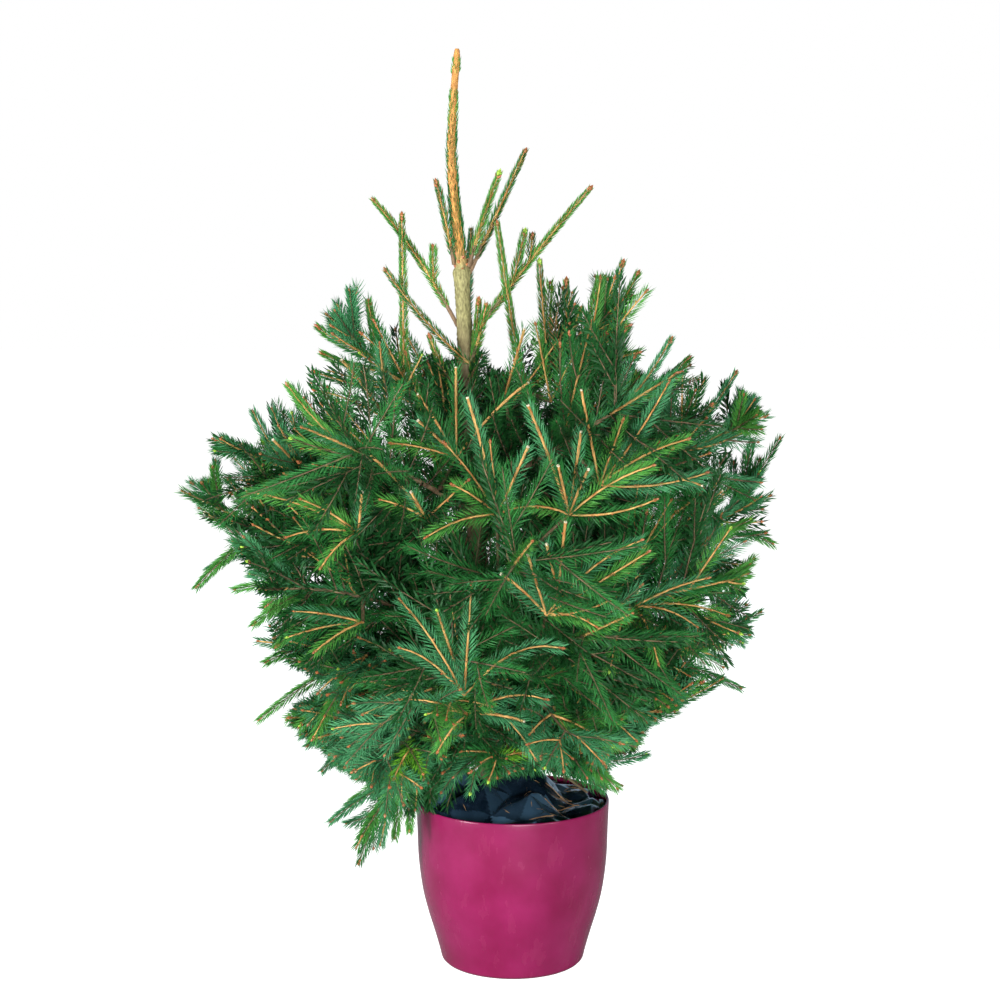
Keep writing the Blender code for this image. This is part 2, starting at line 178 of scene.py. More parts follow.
def mesh_from(name, corners, faces, smooth=True):
    """A mesh of corners and faces."""
    mesh = bpy.data.meshes.new(name)
    mesh.from_pydata(corners, [], faces)
    mesh.polygons.foreach_set("use_smooth", [smooth] * len(mesh.polygons))
    mesh.update()
    return mesh


def smooth_line(points, steps):
    """Points along a smooth curve through the given ones."""
    ends = [points[0] * 2 - points[1], *points, points[-1] * 2 - points[-2]]
    line = []
    for a, b, c, d in zip(ends, ends[1:], ends[2:], ends[3:]):
        for step in range(steps):
            t = step / steps
            line.append(0.5 * (2 * b + (c - a) * t + (2 * a - 5 * b + 4 * c - d) * t ** 2
                               + (3 * b - a - 3 * c + d) * t ** 3))
    return line + [points[-1]]


def turned_mesh(name, profile, turns, place=None):
    """A closed turned shape from (radius, height) points, with a single corner at each pole."""
    corners, rings = [], []
    for radius, height in profile:
        count = turns if radius > 0.0 else 1
        rings.append(range(len(corners), len(corners) + count))
        for step in range(count):
            angle = tau * step / turns
            corner = Vector((radius * cos(angle), radius * sin(angle), height))
            corners.append(place(corner) if place else corner)
    faces = []
    for lower, upper in zip(rings, rings[1:]):
        for step in range(turns):
            after = (step + 1) % turns
            if len(lower) == 1:
                faces.append((lower[0], upper[after], upper[step]))
            elif len(upper) == 1:
                faces.append((lower[step], lower[after], upper[0]))
            else:
                faces.append((lower[step], lower[after], upper[after], upper[step]))
    return mesh_from(name, corners, faces)


def read_between(table, place, key):
    """A row of a table of sizes, worked out between its rows at a place in its key column."""
    for lower, upper in zip(table, table[1:]):
        if place <= upper[key]:
            break
    share = min(1.0, max(0.0, (place - lower[key]) / (upper[key] - lower[key])))
    return [low + share * (high - low) for low, high in zip(lower, upper)]


def pot_inner_radius(height):
    """Radius of the pot's inner wall at a height."""
    return read_between(POT_SIDE, height, 1)[0] - POT_WALL


side = [tuple(p) for p in smooth_line([Vector(p) for p in POT_SIDE], SIDE_STEPS)]
inner_side = [(radius - POT_WALL, height) for radius, height in reversed(side) if height > INNER_FOOT]
pot_profile = [*POT_UNDERSIDE, *side, *POT_LIP, *inner_side[1:], *POT_FLOOR]

pot_finish, tree, shader = new_finish("raspberry_plastic", 0.32)
mottle = patches(tree, 16.0, 5.0, 0.35, 0.68)
scuffs = patches(tree, 55.0, 8.0, 0.56, 0.72, (1.0, 1.0, 0.35))
rubbed = patches(tree, 210.0, 3.0, 0.30, 0.75)
tone = blend_tones(tree, mottle, RASPBERRY_DEEP, RASPBERRY_PALE)
worn = blend_tones(tree, spread(tree, scuffs, 0.0, 0.04), tone, RASPBERRY_WORN)
paint(tree, shader, worn, scuffs, 0.25, 0.33)
raise_skin(tree, shader, rubbed, 0.00006)
pot_mesh = turned_mesh("pot_shell", pot_profile, POT_TURNS)
place_piece("pot_shell", pot_mesh, pot_finish, ["pot"])


# Root ball: black polythene film gathered over the soil. It is tucked down inside the pot, rises to
# the trunk's foot and lies in folded facets, some of them given a pale blue painted highlight.
BALL_TOP = ((0.0, 0.226), (0.044, 0.225), (0.066, 0.224), (0.088, 0.221), (0.108, 0.215), (0.118, 0.208))
BALL_FLOOR = 0.0046
BALL_TUCKS = (0.012, 0.04, 0.07, 0.10, 0.14, 0.18, 0.200)
FOOT_X = -0.030
FOOT_HEIGHT = 0.2500
FOOT_CALM = 0.014
FOOT_ROOM = 0.030
FOOT_DIP = 0.0012
HUMP_BASE = 0.224
HUMP_REACH = 0.100
FILM_EDGE_HEIGHT = 0.203
FILM_RINGS = 96
FILM_TURNS = 200
FILM_GAP = 0.0008
GOLDEN_TURN = 137.5
FOLD_SIZES = ((80, 0.0160, 5), (500, 0.0035, 6))
FOLD_REACH = 0.16
FOLD_STRETCH = 1.5
FOLD_TURN = radians(32)
# the pale blue of the painted highlight on some facets, and how rare it is
PAINTED_GLINT_TONE = (0.055, 0.120, 0.190, 1.0)
PAINTED_GLINT_POWER = 4
HIGH_ABOVE = 1.0


def folded_sheet(count, lift, seed):
    """A sheet of flat facets with sharp creases, to be felt for its height from above."""
    draw = random.Random(seed)
    along = Vector((cos(FOLD_TURN), sin(FOLD_TURN)))
    across = Vector((-along.y, along.x))
    spots = []
    for step in range(count):
        radius, turn = FOLD_REACH * sqrt((step + draw.random()) / count), radians(GOLDEN_TURN * step)
        spot = Vector((radius * cos(turn), radius * sin(turn)))
        spots.append(along * spot.dot(along) * FOLD_STRETCH + across * spot.dot(across))
    corners, edges, facets = delaunay_2d_cdt(spots, [], [], 0, 1e-6)[:3]
    return BVHTree.FromPolygons([Vector((*corner, draw.uniform(-lift, lift))) for corner in corners], facets)


folded = [folded_sheet(*row) for row in FOLD_SIZES]


def film_height(x, y):
    """Height of the gathered film over a point of the pot's mouth."""
    height = read_between(BALL_TOP, hypot(x, y), 0)[1]
    offset = hypot(x - FOOT_X, y)
    height += (FOOT_HEIGHT - HUMP_BASE) * max(0.0, 1.0 - (offset / HUMP_REACH) ** 2)
    folds = sum(sheet.ray_cast(Vector((x, y, HIGH_ABOVE)), -UP)[0].z for sheet in folded)
    calm = min(1.0, max(0.0, (offset - FOOT_CALM) / FOOT_ROOM))
    return height + folds * calm - FOOT_DIP * (1.0 - calm)


def film_point(corner):
    """Drapes a corner of the plain turned ball: the top is folded and the side is creased."""
    radius = hypot(corner.x, corner.y)
    if corner.z > FILM_EDGE_HEIGHT:
        return Vector((corner.x, corner.y, film_height(corner.x, corner.y)))
    if corner.z > 0.02 and radius > 0.0:
        shrink = 0.0016 * (1.0 + noise(corner * 60.0)) / radius
        return Vector((corner.x * (1.0 - shrink), corner.y * (1.0 - shrink), corner.z))
    return corner


film_edge = pot_inner_radius(FILM_EDGE_HEIGHT) - FILM_GAP
film_profile = [(0.0, BALL_FLOOR), (0.080, BALL_FLOOR)]
film_profile += [(pot_inner_radius(height) - FILM_GAP, height) for height in BALL_TUCKS]
film_profile += [(film_edge * (1.0 - step / FILM_RINGS), POT_HEIGHT) for step in range(1, FILM_RINGS)]
film_profile += [(0.0, POT_HEIGHT)]
film_finish, tree, shader = new_finish("black_polythene", 0.6, {"Specular Tint": (0.45, 0.75, 1.0, 1.0)})
dust = patches(tree, 70.0, 6.0, 0.50, 0.74)
# the painted highlight: a pale base colour on the facets that carry it
painted_glint = fit_node(tree, "ShaderNodeAttribute", attribute_name="painted_glint").outputs["Fac"]
film_tone = blend_tones(tree, dust, (0.002, 0.005, 0.010, 1.0), (0.007, 0.014, 0.024, 1.0))
paint(tree, shader, blend_tones(tree, painted_glint, film_tone, PAINTED_GLINT_TONE), dust, 0.05, 0.16)
raise_skin(tree, shader, patches(tree, 90.0, 2.0, 0.25, 0.75), 0.0003)
film_mesh = turned_mesh("film_wrap", film_profile, FILM_TURNS, film_point)
# each coarse facet draws how much painted highlight it carries
paling = film_mesh.attributes.new("painted_glint", "FLOAT", "POINT")
for corner, row in zip(film_mesh.vertices, paling.data):
    facet = folded[0].ray_cast(Vector((corner.co.x, corner.co.y, HIGH_ABOVE)), -UP)[2]
    row.value = random.Random(facet).random() ** PAINTED_GLINT_POWER
place_piece("film_wrap", film_mesh, film_finish, ["root_ball"])


# Trunk: one young spruce stem with a flared foot. Thin scaly grey-brown bark below, green-tan ribbed
# bark under the top whorl, and above it the orange-tan leader with the pegs that needles stood on.
WHORL_HEIGHT = 0.925
TRUNK_AXIS = ((FOOT_X, FOOT_HEIGHT, 0.0185), (FOOT_X, FOOT_HEIGHT + 0.005, 0.0170),
              (-0.031, 0.268, 0.0145), (-0.034, 0.310, 0.0136), (-0.040, 0.430, 0.0128),
              (-0.050, 0.600, 0.0118), (-0.060, 0.780, 0.0106), (-0.066, 0.895, 0.0095),
              (-0.067, WHORL_HEIGHT, 0.0115), (-0.068, 0.940, 0.0072), (-0.077, 1.020, 0.0060),
              (-0.080, 1.080, 0.0054), (-0.077, 1.150, 0.0046), (-0.073, 1.200, 0.0042),
              (-0.0725, 1.2115, 0.0024))
FOOT_RADII = [0.0185, 0.0168]
TRUNK_SIDES = 32
TRUNK_STEP = 0.0032
AXIS_STEPS = 8
BARK_SCALES = 0.085
BARK_GRAIN = 0.035
PEG_RELIEF = 0.10
YOUNG_HEIGHT = 0.80
YOUNG_BLEND = 0.04
GREEN_TAN = ((0.08, 0.070, 0.026, 1.0), (0.36, 0.34, 0.150, 1.0))
ORANGE_TAN = ((0.20, 0.075, 0.016, 1.0), (0.66, 0.34, 0.095, 1.0))


def trunk_centre(height):
    """Point of the trunk's axis, and its radius, at a height."""
    x, height, radius = read_between(TRUNK_AXIS, height, 1)
    return Vector((x, 0.0, height)), radius


def run_length(points):
    """Length of a line along its points."""
    return sum((b - a).length for a, b in zip(points, points[1:]))


def even_points(points, radii, step):
    """Points and radii at an even step along a line."""
    placed, sizes, left = [points[0]], [radii[0]], step
    for start, end, first, last in zip(points, points[1:], radii, radii[1:]):
        run = (end - start).length
        while left < run:
            placed.append(start.lerp(end, left / run))
            sizes.append(first + (last - first) * left / run)
            left += step
        left -= run
    return placed + [points[-1]], sizes + [radii[-1]]


def bark_tube(points, radii, sides, relief, corners, faces):
    """Add a closed limb whose surface stands out and in by the relief at each corner."""
    first = len(corners)
    across = (points[1] - points[0]).orthogonal().normalized()
    for index, (point, radius) in enumerate(zip(points, radii)):
        ahead = points[min(index + 1, len(points) - 1)] - points[max(index - 1, 0)]
        heading = ahead.normalized()
        across = (across - heading * across.dot(heading)).normalized()
        other = heading.cross(across)
        for step in range(sides):
            angle = tau * step / sides
            out = across * cos(angle) + other * sin(angle)
            corners.append(point + out * radius * (1.0 + relief(point, out, angle, radius)))
    for ring in range(len(points) - 1):
        start = first + ring * sides
        for step in range(sides):
            after = (step + 1) % sides
            faces.append((start + step, start + after, start + sides + after, start + sides + step))
    last = first + (len(points) - 1) * sides
    faces.append(tuple(range(first + sides - 1, first - 1, -1)))
    faces.append(tuple(range(last, last + sides)))


def bark_relief(point, out, angle, radius):
    """Scales and grain of old bark; needle pegs in a slanting lattice on the young stretch."""
    spot = point + out * radius
    plates = 1.0 - 2.0 * abs(noise(Vector((spot.x * 120.0, spot.y * 120.0, spot.z * 46.0))))
    grain = noise(Vector((spot.x * 420.0, spot.y * 420.0, spot.z * 120.0)))
    rough = BARK_SCALES * plates + BARK_GRAIN * grain
    if point.z < YOUNG_HEIGHT:
        return rough
    pegs = cos(3 * angle + point.z * 640.0) * cos(5 * angle - point.z * 520.0)
    young = min(1.0, (point.z - YOUNG_HEIGHT) / YOUNG_BLEND)
    return rough * (1.0 - 0.75 * young) + PEG_RELIEF * young * max(0.0, pegs)


# the effect of bark: two browns in drawn-out flakes, a green-grey bloom in patches, fine cracks
bark_surface, wires = new_effect("bark_surface", (
    ("Dark", "Color", (0.07, 0.04, 0.02, 1.0)), ("Light", "Color", (0.3, 0.2, 0.1, 1.0)),
    ("Bloom", "Color", (0.1, 0.1, 0.06, 1.0)), ("Bloom Share", "Float", 0.55)),
    (("Color", "Color"), ("Flakes", "Float"), ("Cracks", "Float")))
flakes = patches(bark_surface, 90.0, 7.0, 0.34, 0.68, (1.0, 1.0, 0.30))
bloom = spread(bark_surface, patches(bark_surface, 24.0, 4.0, 0.50, 0.72), 0.0, wires["Bloom Share"])
browns = blend_tones(bark_surface, flakes, wires["Dark"], wires["Light"])
tinted = blend_tones(bark_surface, bloom, browns, wires["Bloom"])
cracks = patches(bark_surface, 420.0, 6.0, 0.25, 0.75, (1.0, 1.0, 0.35))
fit_node(bark_surface, "NodeGroupOutput", {"Color": tinted, "Flakes": flakes, "Cracks": cracks})


def bark_look(name, dark, light, moss, young_tones=()):
    """Bark, dry and rough; the trunk's young bark takes other tones from a height up."""
    made, tree, shader = new_finish(name, 0.25)
    feeds = {"Dark": dark, "Light": light, "Bloom": moss}
    surface = fit_node(tree, "ShaderNodeGroup", feeds, node_tree=bark_surface).outputs
    tinted = surface["Color"]
    if young_tones:
        place = fit_node(tree, "ShaderNodeTexCoord").outputs["Object"]
        height = fit_node(tree, "ShaderNodeSeparateXYZ", {0: place}).outputs["Z"]
    for low, high, tones in young_tones:
        share = spread(tree, height, 0.0, 1.0, low, high)
        tinted = blend_tones(tree, share, tinted, blend_tones(tree, surface["Cracks"], *tones))
    paint(tree, shader, tinted, surface["Flakes"], 0.90, 0.66)
    raise_skin(tree, shader, surface["Cracks"], 0.0005)
    return made


trunk_line = smooth_line([Vector((x, 0.0, z)) for x, z, radius in TRUNK_AXIS[2:]], AXIS_STEPS)
trunk_radii = [p.x for p in smooth_line([Vector((row[2], 0.0)) for row in TRUNK_AXIS[2:]], AXIS_STEPS)]
foot = [Vector((x, 0.0, z)) for x, z, radius in TRUNK_AXIS[:2]]
trunk_points, trunk_sizes = even_points(foot + trunk_line, FOOT_RADII + trunk_radii, TRUNK_STEP)
corners, faces = [], []
bark_tube(trunk_points, trunk_sizes, TRUNK_SIDES, bark_relief, corners, faces)
corners = [Vector((c.x, c.y, min(max(c.z, FOOT_HEIGHT), BOX_HIGH.z))) for c in corners]
trunk_bark = bark_look("trunk_bark", (0.065, 0.040, 0.024, 1.0), (0.21, 0.140, 0.085, 1.0),
                       (0.10, 0.10, 0.055, 1.0), ((0.78, 0.87, GREEN_TAN), (0.93, 0.96, ORANGE_TAN)))
place_piece("trunk_stem", mesh_from("trunk_stem", corners, faces), trunk_bark, ["trunk"])


# Boughs: the limbs that leave the trunk in yearly whorls. Each swells into the trunk at its collar,
# carries grey-brown scaly bark and thins out to the tip of its spray.
# a row: name, height at the trunk in mm, direction in degrees, reach and tip height in mm, and the slope
# it sets off at in degrees
TOP_SHOOTS = (("top_left", 925, 195, 35, 1045, 72), ("top_right", 925, -25, 55, 1055, 66),
              ("top_far_right", 918, 8, 85, 1085, 60), ("top_back", 918, 100, 75, 1050, 60))
UPPER_SPRAYS = (("upper_left", 850, 183, 120, 1020, 60), ("upper_right", 835, 2, 165, 1035, 52),
                ("upper_front_right", 800, -62, 95, 975, 45), ("upper_front_left", 760, -140, 115, 985, 30),
                ("upper_back", 820, 88, 150, 985, 52), ("shoulder_left", 705, 178, 200, 880, 38),
                ("shoulder_right", 715, 4, 225, 905, 36), ("shoulder_back", 690, 118, 215, 850, 36))
BOUGHS = (("d_left", 570, 181, 360, 712, 20), ("d_right", 575, -3, 395, 745, 22),
          ("d_back_right", 620, 32, 370, 800, 28), ("d_front_right", 630, -38, 330, 810, 28),
          ("d_front_left", 610, -131, 325, 745, 26), ("d_back", 585, 86, 365, 720, 24),
          ("e_left", 465, 176, 415, 640, 20), ("e_left_low", 425, -163, 398, 500, 34),
          ("e_right", 470, 6, 405, 632, 18), ("e_right_low", 425, -20, 400, 550, 22),
          ("e_front", 470, -79, 345, 620, 26), ("e_back_left", 475, 132, 380, 590, 20),
          ("e_back_right", 470, 58, 380, 590, 20), ("f_left", 362, 170, 330, 425, 18),
          ("f_right", 365, 10, 375, 445, 16), ("f_front_right", 385, -56, 335, 525, 22),
          ("g_left", 305, 188, 310, 325, 16), ("g_right", 305, -8, 345, 365, 10),
          ("g_front", 300, -102, 295, 535, 34), ("g_low_left", 282, -154, 215, 138, 26),
          ("g_low_right", 285, -42, 250, 280, 14), ("g_back", 330, 98, 350, 400, 14))
LIMB_SHARE = 0.35
LIMB_RADIUS = 0.0050
LIMB_TIP_RADIUS = 0.0028
STEM_TIP_RADIUS = 0.0012
COLLAR_SWELL = 0.0042
COLLAR_SHARE = 0.055
START_CLIMB = 0.3
LINE_STEPS = 27
SINGLE_SHOOT = 0.165
SLENDER_HEIGHT = 0.93
BARKED_SHARE = 0.66
SHOOT_BARKED_SHARE = 0.25
BOUGH_SIDES = 12
BOUGH_STEP = 0.0034


class Line:
    """The centre line of a bough and its spray: a quadratic curve from the trunk out to the tip."""

    def __init__(self, row, thick):
        self.name, height, azimuth, reach, tip_height, rise = row
        self.reach = reach * 0.001
        self.axis, trunk_radius = trunk_centre(height * 0.001)
        turn = radians(azimuth)
        self.outward = Vector((cos(turn), sin(turn), 0.0))
        climb = UP * tan(radians(rise))
        self.start = self.axis + (self.outward + climb * START_CLIMB) * (trunk_radius * 0.9)
        self.control = self.axis + (self.outward + climb) * self.reach / 2
        self.tip = self.axis + self.outward * self.reach
        self.tip.z = tip_height * 0.001
        self.thick = thick
        self.barked = BARKED_SHARE if thick else SHOOT_BARKED_SHARE
        self.length = run_length([self.at(i / LINE_STEPS)[0] for i in range(LINE_STEPS + 1)])
        self.slender = self.tip.z > SLENDER_HEIGHT
        self.single = self.length < SINGLE_SHOOT

    def at(self, share):
        """Point at a share of the way, and the direction there."""
        rest = 1.0 - share
        point = self.start * rest ** 2 + self.control * (2 * share * rest) + self.tip * share ** 2
        ahead = (self.control - self.start) * rest + (self.tip - self.control) * share
        return point, ahead.normalized()

    def radius(self, share):
        """Thickness of the wood: swollen at the collar, then evenly thinner."""
        if self.thick and share < LIMB_SHARE:
            collar = COLLAR_SWELL * max(0.0, 1.0 - share / COLLAR_SHARE) ** 2
            return LIMB_RADIUS + (LIMB_TIP_RADIUS - LIMB_RADIUS) * share / LIMB_SHARE + collar
        begin = LIMB_SHARE if self.thick else 0.0
        return LIMB_TIP_RADIUS + (STEM_TIP_RADIUS - LIMB_TIP_RADIUS) * (share - begin) / (1.0 - begin)

    def reach_of(self, point):
        """How far out from the trunk a point is."""
        return hypot(point.x - self.axis.x, point.y - self.axis.y)


lines = [Line(row, False) for row in TOP_SHOOTS + UPPER_SPRAYS] + [Line(row, True) for row in BOUGHS]


def bough_relief(point, out, angle, radius):
    """Small scales and rings on a limb."""
    spot = point + out * radius
    return 0.11 * noise(spot * 210.0) + 0.07 * noise(spot * 520.0)


corners, faces = [], []
for line in lines:
    count = max(6, round(line.length * line.barked / BOUGH_STEP))
    shares = [line.barked * i / count for i in range(count + 1)]
    radii = [line.radius(share) for share in shares]
    bark_tube([line.at(share)[0] for share in shares], radii, BOUGH_SIDES, bough_relief, corners, faces)
bough_bark = bark_look("bough_bark", (0.085, 0.052, 0.030, 1.0), (0.30, 0.20, 0.115, 1.0),
                       (0.13, 0.12, 0.075, 1.0))
bough_names = ["bough_" + line.name for line in lines if line.thick]
place_piece("bough_limbs", mesh_from("bough_limbs", corners, faces), bough_bark, bough_names)


# Shoots: the growth rule of the sprays. A stem, side shoots at each year's node, and finer shoots at
# the nodes of those, all inside the reach of their bough. Some were clipped and end in a pale cut.
YEAR_GROWTH = 0.082
NODE_SHARE = 0.20
NODE_STAGGER = 0.007
WHORL_SPOKES = (90, -90, 0)
PAIR_SPOKES = (70, -70)
SPOKE_SPREAD = 12
SIDE_ANGLE = 50
SIDE_ANGLE_SPREAD = 7
SIDE_SHARE = 0.66
SIDE_SPREAD = 0.1
SIDE_LENGTH = (0.085, 0.175)
SIDE_REACH = 0.95
SIDE_TRIM = 0.9
SIDE_LIFT = (0.05, 0.45)
FINE_ANGLE = (26, 44)
FINE_LENGTH = (0.055, 0.120)
FINE_SHARE = 0.85
FINE_SPACING = 0.062
STEM_SPACING = 0.027
STEM_LENGTH = (0.058, 0.125)
STEM_ANGLE = (34, 54)
STEM_STEPS = 12
SHOOT_STEPS = 6
SHORTEST_SHOOT = 0.022
NEEDLE_MARGIN = 0.022
STEM_TIP_GAP = 0.016
ROD_TIP_GAP = 0.006
POT_ROOM = 0.139
POT_ROOM_HEIGHT = POT_HEIGHT + 0.008
YOUNG_RADIUS = 0.00155
COVERED_SHARE = 0.72
CUT_CHANCE = 0.07
OPEN_SHARE = 0.36
ROD_BUD = 1.6
STEM_END = 0.94
STEM_SHADE = 0.12
NEEDLED_FROM = {True: 0.28, False: 0.12}
RISING_LIFT = 0.10
SINKING_LIFT = -0.06
INNER_REACH = 0.45
OUTER_REACH = 0.80

# the greens, and how often each comes up: dark ones inside the crown as painted shade; bluer and paler ones
# low down, partly the needles' own tone and partly painted light; at the left; and elsewhere
TONES = ("shade", "deep", "blue", "green", "fresh", "dry")
SHADED_TONES = (("shade", "deep", "dry"), (0.66, 0.33, 0.01))
LOW_BLUE_PAINTED_LIGHT_TONES = (("deep", "blue", "green", "fresh"), (0.12, 0.66, 0.20, 0.02))
LEFT_TONES = (("shade", "deep", "blue", "green", "fresh"), (0.10, 0.28, 0.26, 0.32, 0.04))
OTHER_TONES = (("shade", "deep", "blue", "green", "fresh"), (0.12, 0.34, 0.34, 0.17, 0.03))
LOW_CROWN = 0.45
LEFT_CROWN = -0.12

# brushes of needles: their length, how far they part on the open side, and how far they stand out
FULL_BRUSH = (0.0210, 0.15, 0.78)
FAN_BRUSH = (0.0210, 0.22, 0.82)
OUTLINE_BRUSH = (0.0190, 0.08, 0.58)
NARROW_BRUSH = (0.0165, 0.05, 0.50)
PRESSED_BRUSH = (0.0145, 0.02, 0.50)
NARROW_HEIGHT = 0.77
COVERED_PARTING = -0.16
BUD_LENGTH = (0.0046, 0.0064)
SIDE_BUD_CHANCE = 0.45
NODE_BUD_CHANCE = 0.22
NODE_BUD_LENGTH = 0.0038
GREEN_CHANCE = 0.10
TIP_TAPER = 0.62
CUT_SWELL = 1.15

# the crown as it looks from the front, on the upright plane through the trunk, in mm: how far it
# spreads at a height, its gaps (middle, height, half width, half height), and the pot's clear front
VIEW_DEPTH = 2.6
VIEW_MIDDLE = -0.017
VIEW_HEIGHT = 0.93
EDGE_TOP = 920
EDGE_NEEDLES = 18
LEFT_EDGE = ((130, -190), (185, -240), (205, -205), (245, -210), (265, -250), (305, -290), (330, -325),
             (350, -300), (375, -245), (410, -330), (490, -350), (560, -385), (600, -425), (640, -450),
             (710, -400), (745, -345), (785, -300), (825, -260), (885, -250), (935, -190))
RIGHT_EDGE = ((130, 120), (230, 145), (275, 140), (285, 180), (330, 200), (375, 290), (445, 335), (515, 325),
              (570, 350), (715, 345), (755, 340), (785, 285), (800, 205), (860, 165), (935, 160))
SKY_GAPS = ((-15, 825, 25, 35), (-125, 850, 28, 42), (-90, 835, 22, 30), (-95, 915, 20, 30),
            (-15, 905, 20, 30), (-135, 790, 10, 12), (-165, 870, 12, 35), (190, 810, 18, 30),
            (90, 900, 12, 22), (-415, 660, 20, 14), (-370, 715, 15, 12), (-325, 720, 12, 15),
            (175, 800, 15, 14), (-165, 160, 14, 35))
FILM_OPENING = (35, 165, 115, 95)
FILM_OPENING_BACK = 0.03
POT_FRONT = (-140, 200)

brushes = {tone: [] for tone in TONES}
twigs = {"young": [], "old": []}
buds = {"brown": [], "green": []}
cuts = []


def across_and_up(heading):
    """The level direction across a heading, and the upward one square to both."""
    across = UP.cross(heading).normalized()
    return across, heading.cross(across)


def side_shoots(line, start_share, seed):
    """The growth rule: the side shoots at each year's node of a stem, as (root, heading, length)."""
    draw = random.Random(seed)
    years = max(1, round(line.length * (1.0 - start_share) / YEAR_GROWTH))
    shoots = []
    for year in range(years):
        share = start_share + (1.0 - start_share) * (year + NODE_SHARE) / years
        heading = line.at(share)[1]
        across, up = across_and_up(heading)
        for rank, spoke in enumerate(PAIR_SPOKES if year % 2 else WHORL_SPOKES):
            angle = radians(SIDE_ANGLE + draw.uniform(-SIDE_ANGLE_SPREAD, SIDE_ANGLE_SPREAD))
            turn = radians(spoke + draw.uniform(-SPOKE_SPREAD, SPOKE_SPREAD))
            away = across * sin(turn) + up * (cos(turn) + draw.uniform(*SIDE_LIFT))
            out = (heading * cos(angle) + away.normalized() * sin(angle)).normalized()
            length = line.length * (1.0 - share) * SIDE_SHARE
            length *= draw.uniform(1.0 - SIDE_SPREAD, 1.0 + SIDE_SPREAD)
            length = min(max(length, SIDE_LENGTH[0]), SIDE_LENGTH[1])
            root = line.at(share + (rank + draw.uniform(-0.1, 0.1)) * NODE_STAGGER / line.length)[0]
            while line.reach_of(root + out * length) > line.reach * SIDE_REACH:
                length *= SIDE_TRIM
            shoots.append((root, out, length))
    return shoots


def seen_at(point):
    """Where a point shows from the front, in mm across and up the plane through the trunk."""
    near = VIEW_DEPTH / (VIEW_DEPTH + point.y)
    across = VIEW_MIDDLE + (point.x - VIEW_MIDDLE) * near
    return across * 1000, (VIEW_HEIGHT + (point.z - VIEW_HEIGHT) * near) * 1000


def set_in_view(across, height, depth):
    """The point that shows at a place of that plane and lies at a depth, all in mm."""
    far = (VIEW_DEPTH + depth * 0.001) / VIEW_DEPTH
    x = VIEW_MIDDLE + (across * 0.001 - VIEW_MIDDLE) * far
    return Vector((x, depth * 0.001, VIEW_HEIGHT + (height * 0.001 - VIEW_HEIGHT) * far))


def has_room(points):
    """Whether a shoot and its needles stay in the crown's outline, off the pot and out of its gaps."""
    for point in points:
        across, height = seen_at(point)
        left, right = (read_between(edge, height, 0)[1] for edge in (LEFT_EDGE, RIGHT_EDGE))
        beyond = height > EDGE_TOP or not left + EDGE_NEEDLES < across < right - EDGE_NEEDLES
        before_pot = point.y < 0.0 and POT_FRONT[0] < across and height < POT_FRONT[1]
        near_pot = hypot(point.x, point.y) < POT_ROOM and point.z < POT_ROOM_HEIGHT
        gaps = SKY_GAPS + ((FILM_OPENING,) if point.y < FILM_OPENING_BACK else ())
        in_gap = any(hypot((across - middle) / half_wide, (height - level) / half_high) < 1.0
                     for middle, level, half_wide, half_high in gaps)
        outside = any(here < low + NEEDLE_MARGIN or here > high - NEEDLE_MARGIN
                      for low, here, high in zip(BOX_LOW, point, BOX_HIGH))
        if beyond or before_pot or near_pot or in_gap or outside:
            return False
    return True


def swept(root, heading, bend, length):
    """Points of a shoot that sets off along its heading and bends on the way."""
    shares = [i / SHOOT_STEPS for i in range(SHOOT_STEPS + 1)]
    return [root + heading * (length * t) + bend * (length * t * t) for t in shares]


def arched(start, end, lift):
    """Points of a shoot between two places, raised at half way by a share of its length."""
    length = (end - start).length
    shares = [i / SHOOT_STEPS for i in range(SHOOT_STEPS + 1)]
    return [start.lerp(end, t) + UP * (4.0 * lift * length * t * (1.0 - t)) for t in shares]


def face_of(point, heading, draw):
    """The side of a shoot that its parted needles leave bare: out from the trunk and up."""
    out = Vector((point.x + 0.04, point.y, 0.0)).normalized()
    wanted = out * 0.75 + UP * 0.65 + Vector([draw.uniform(-0.35, 0.35) for axis in range(3)])
    return (wanted - heading * wanted.dot(heading)).normalized()


def tip_buds(points, heading, draw, green, swell):
    """The terminal bud of a shoot and, on some, the two beside it."""
    size = draw.uniform(*BUD_LENGTH) * swell
    buds["green" if green else "brown"].append((points[-1], heading, size))
    across = heading.orthogonal().normalized()
    other = heading.cross(across)
    turn = draw.uniform(0.0, tau)
    for part in (0.0, pi) if draw.random() < SIDE_BUD_CHANCE else ():
        out = across * cos(turn + part) + other * sin(turn + part)
        buds["brown"].append((points[-1] - heading * 0.003, (heading + out * 0.9).normalized(), size * 0.75))


def dress_shoot(points, thick, tone, draw, brush, budded=True, cut=False, open_side=True):
    """Give a shoot its wood, needles and buds. Its twig shows where the needles part on its open side."""
    root, ahead = points[0], (points[-1] - points[-2]).normalized()
    heading = (points[-1] - root).normalized()
    thick *= 1.0 if open_side else COVERED_SHARE
    tip_radius = thick * TIP_TAPER
    if cut:
        tip_radius = thick * CUT_SWELL
        cuts.append((points[-1], ahead, tip_radius))
    elif budded:
        swell = ROD_BUD if brush in (PRESSED_BRUSH, NARROW_BRUSH) else 1.0
        tip_buds(points, ahead, draw, draw.random() < GREEN_CHANCE, swell)
    twigs["young" if open_side else "old"].append((points, thick, tip_radius))
    length, parting, lay = brush
    parting = parting if open_side else COVERED_PARTING
    rounds = (tone, tone) if brush in (OUTLINE_BRUSH, NARROW_BRUSH) else (tone,)
    for own in (tone, tone, "dry") if brush == PRESSED_BRUSH else rounds:
        brushes[own].append((points, face_of(root, heading, draw), thick, length, parting, lay))
    for point in points[2:-1]:
        if open_side and draw.random() < NODE_BUD_CHANCE:
            sideways = heading.cross(face_of(point, heading, draw)) * draw.choice((-1, 1))
            way = (sideways + heading * 0.8).normalized()
            buds["brown"].append((point + sideways * 0.001, way, NODE_BUD_LENGTH))


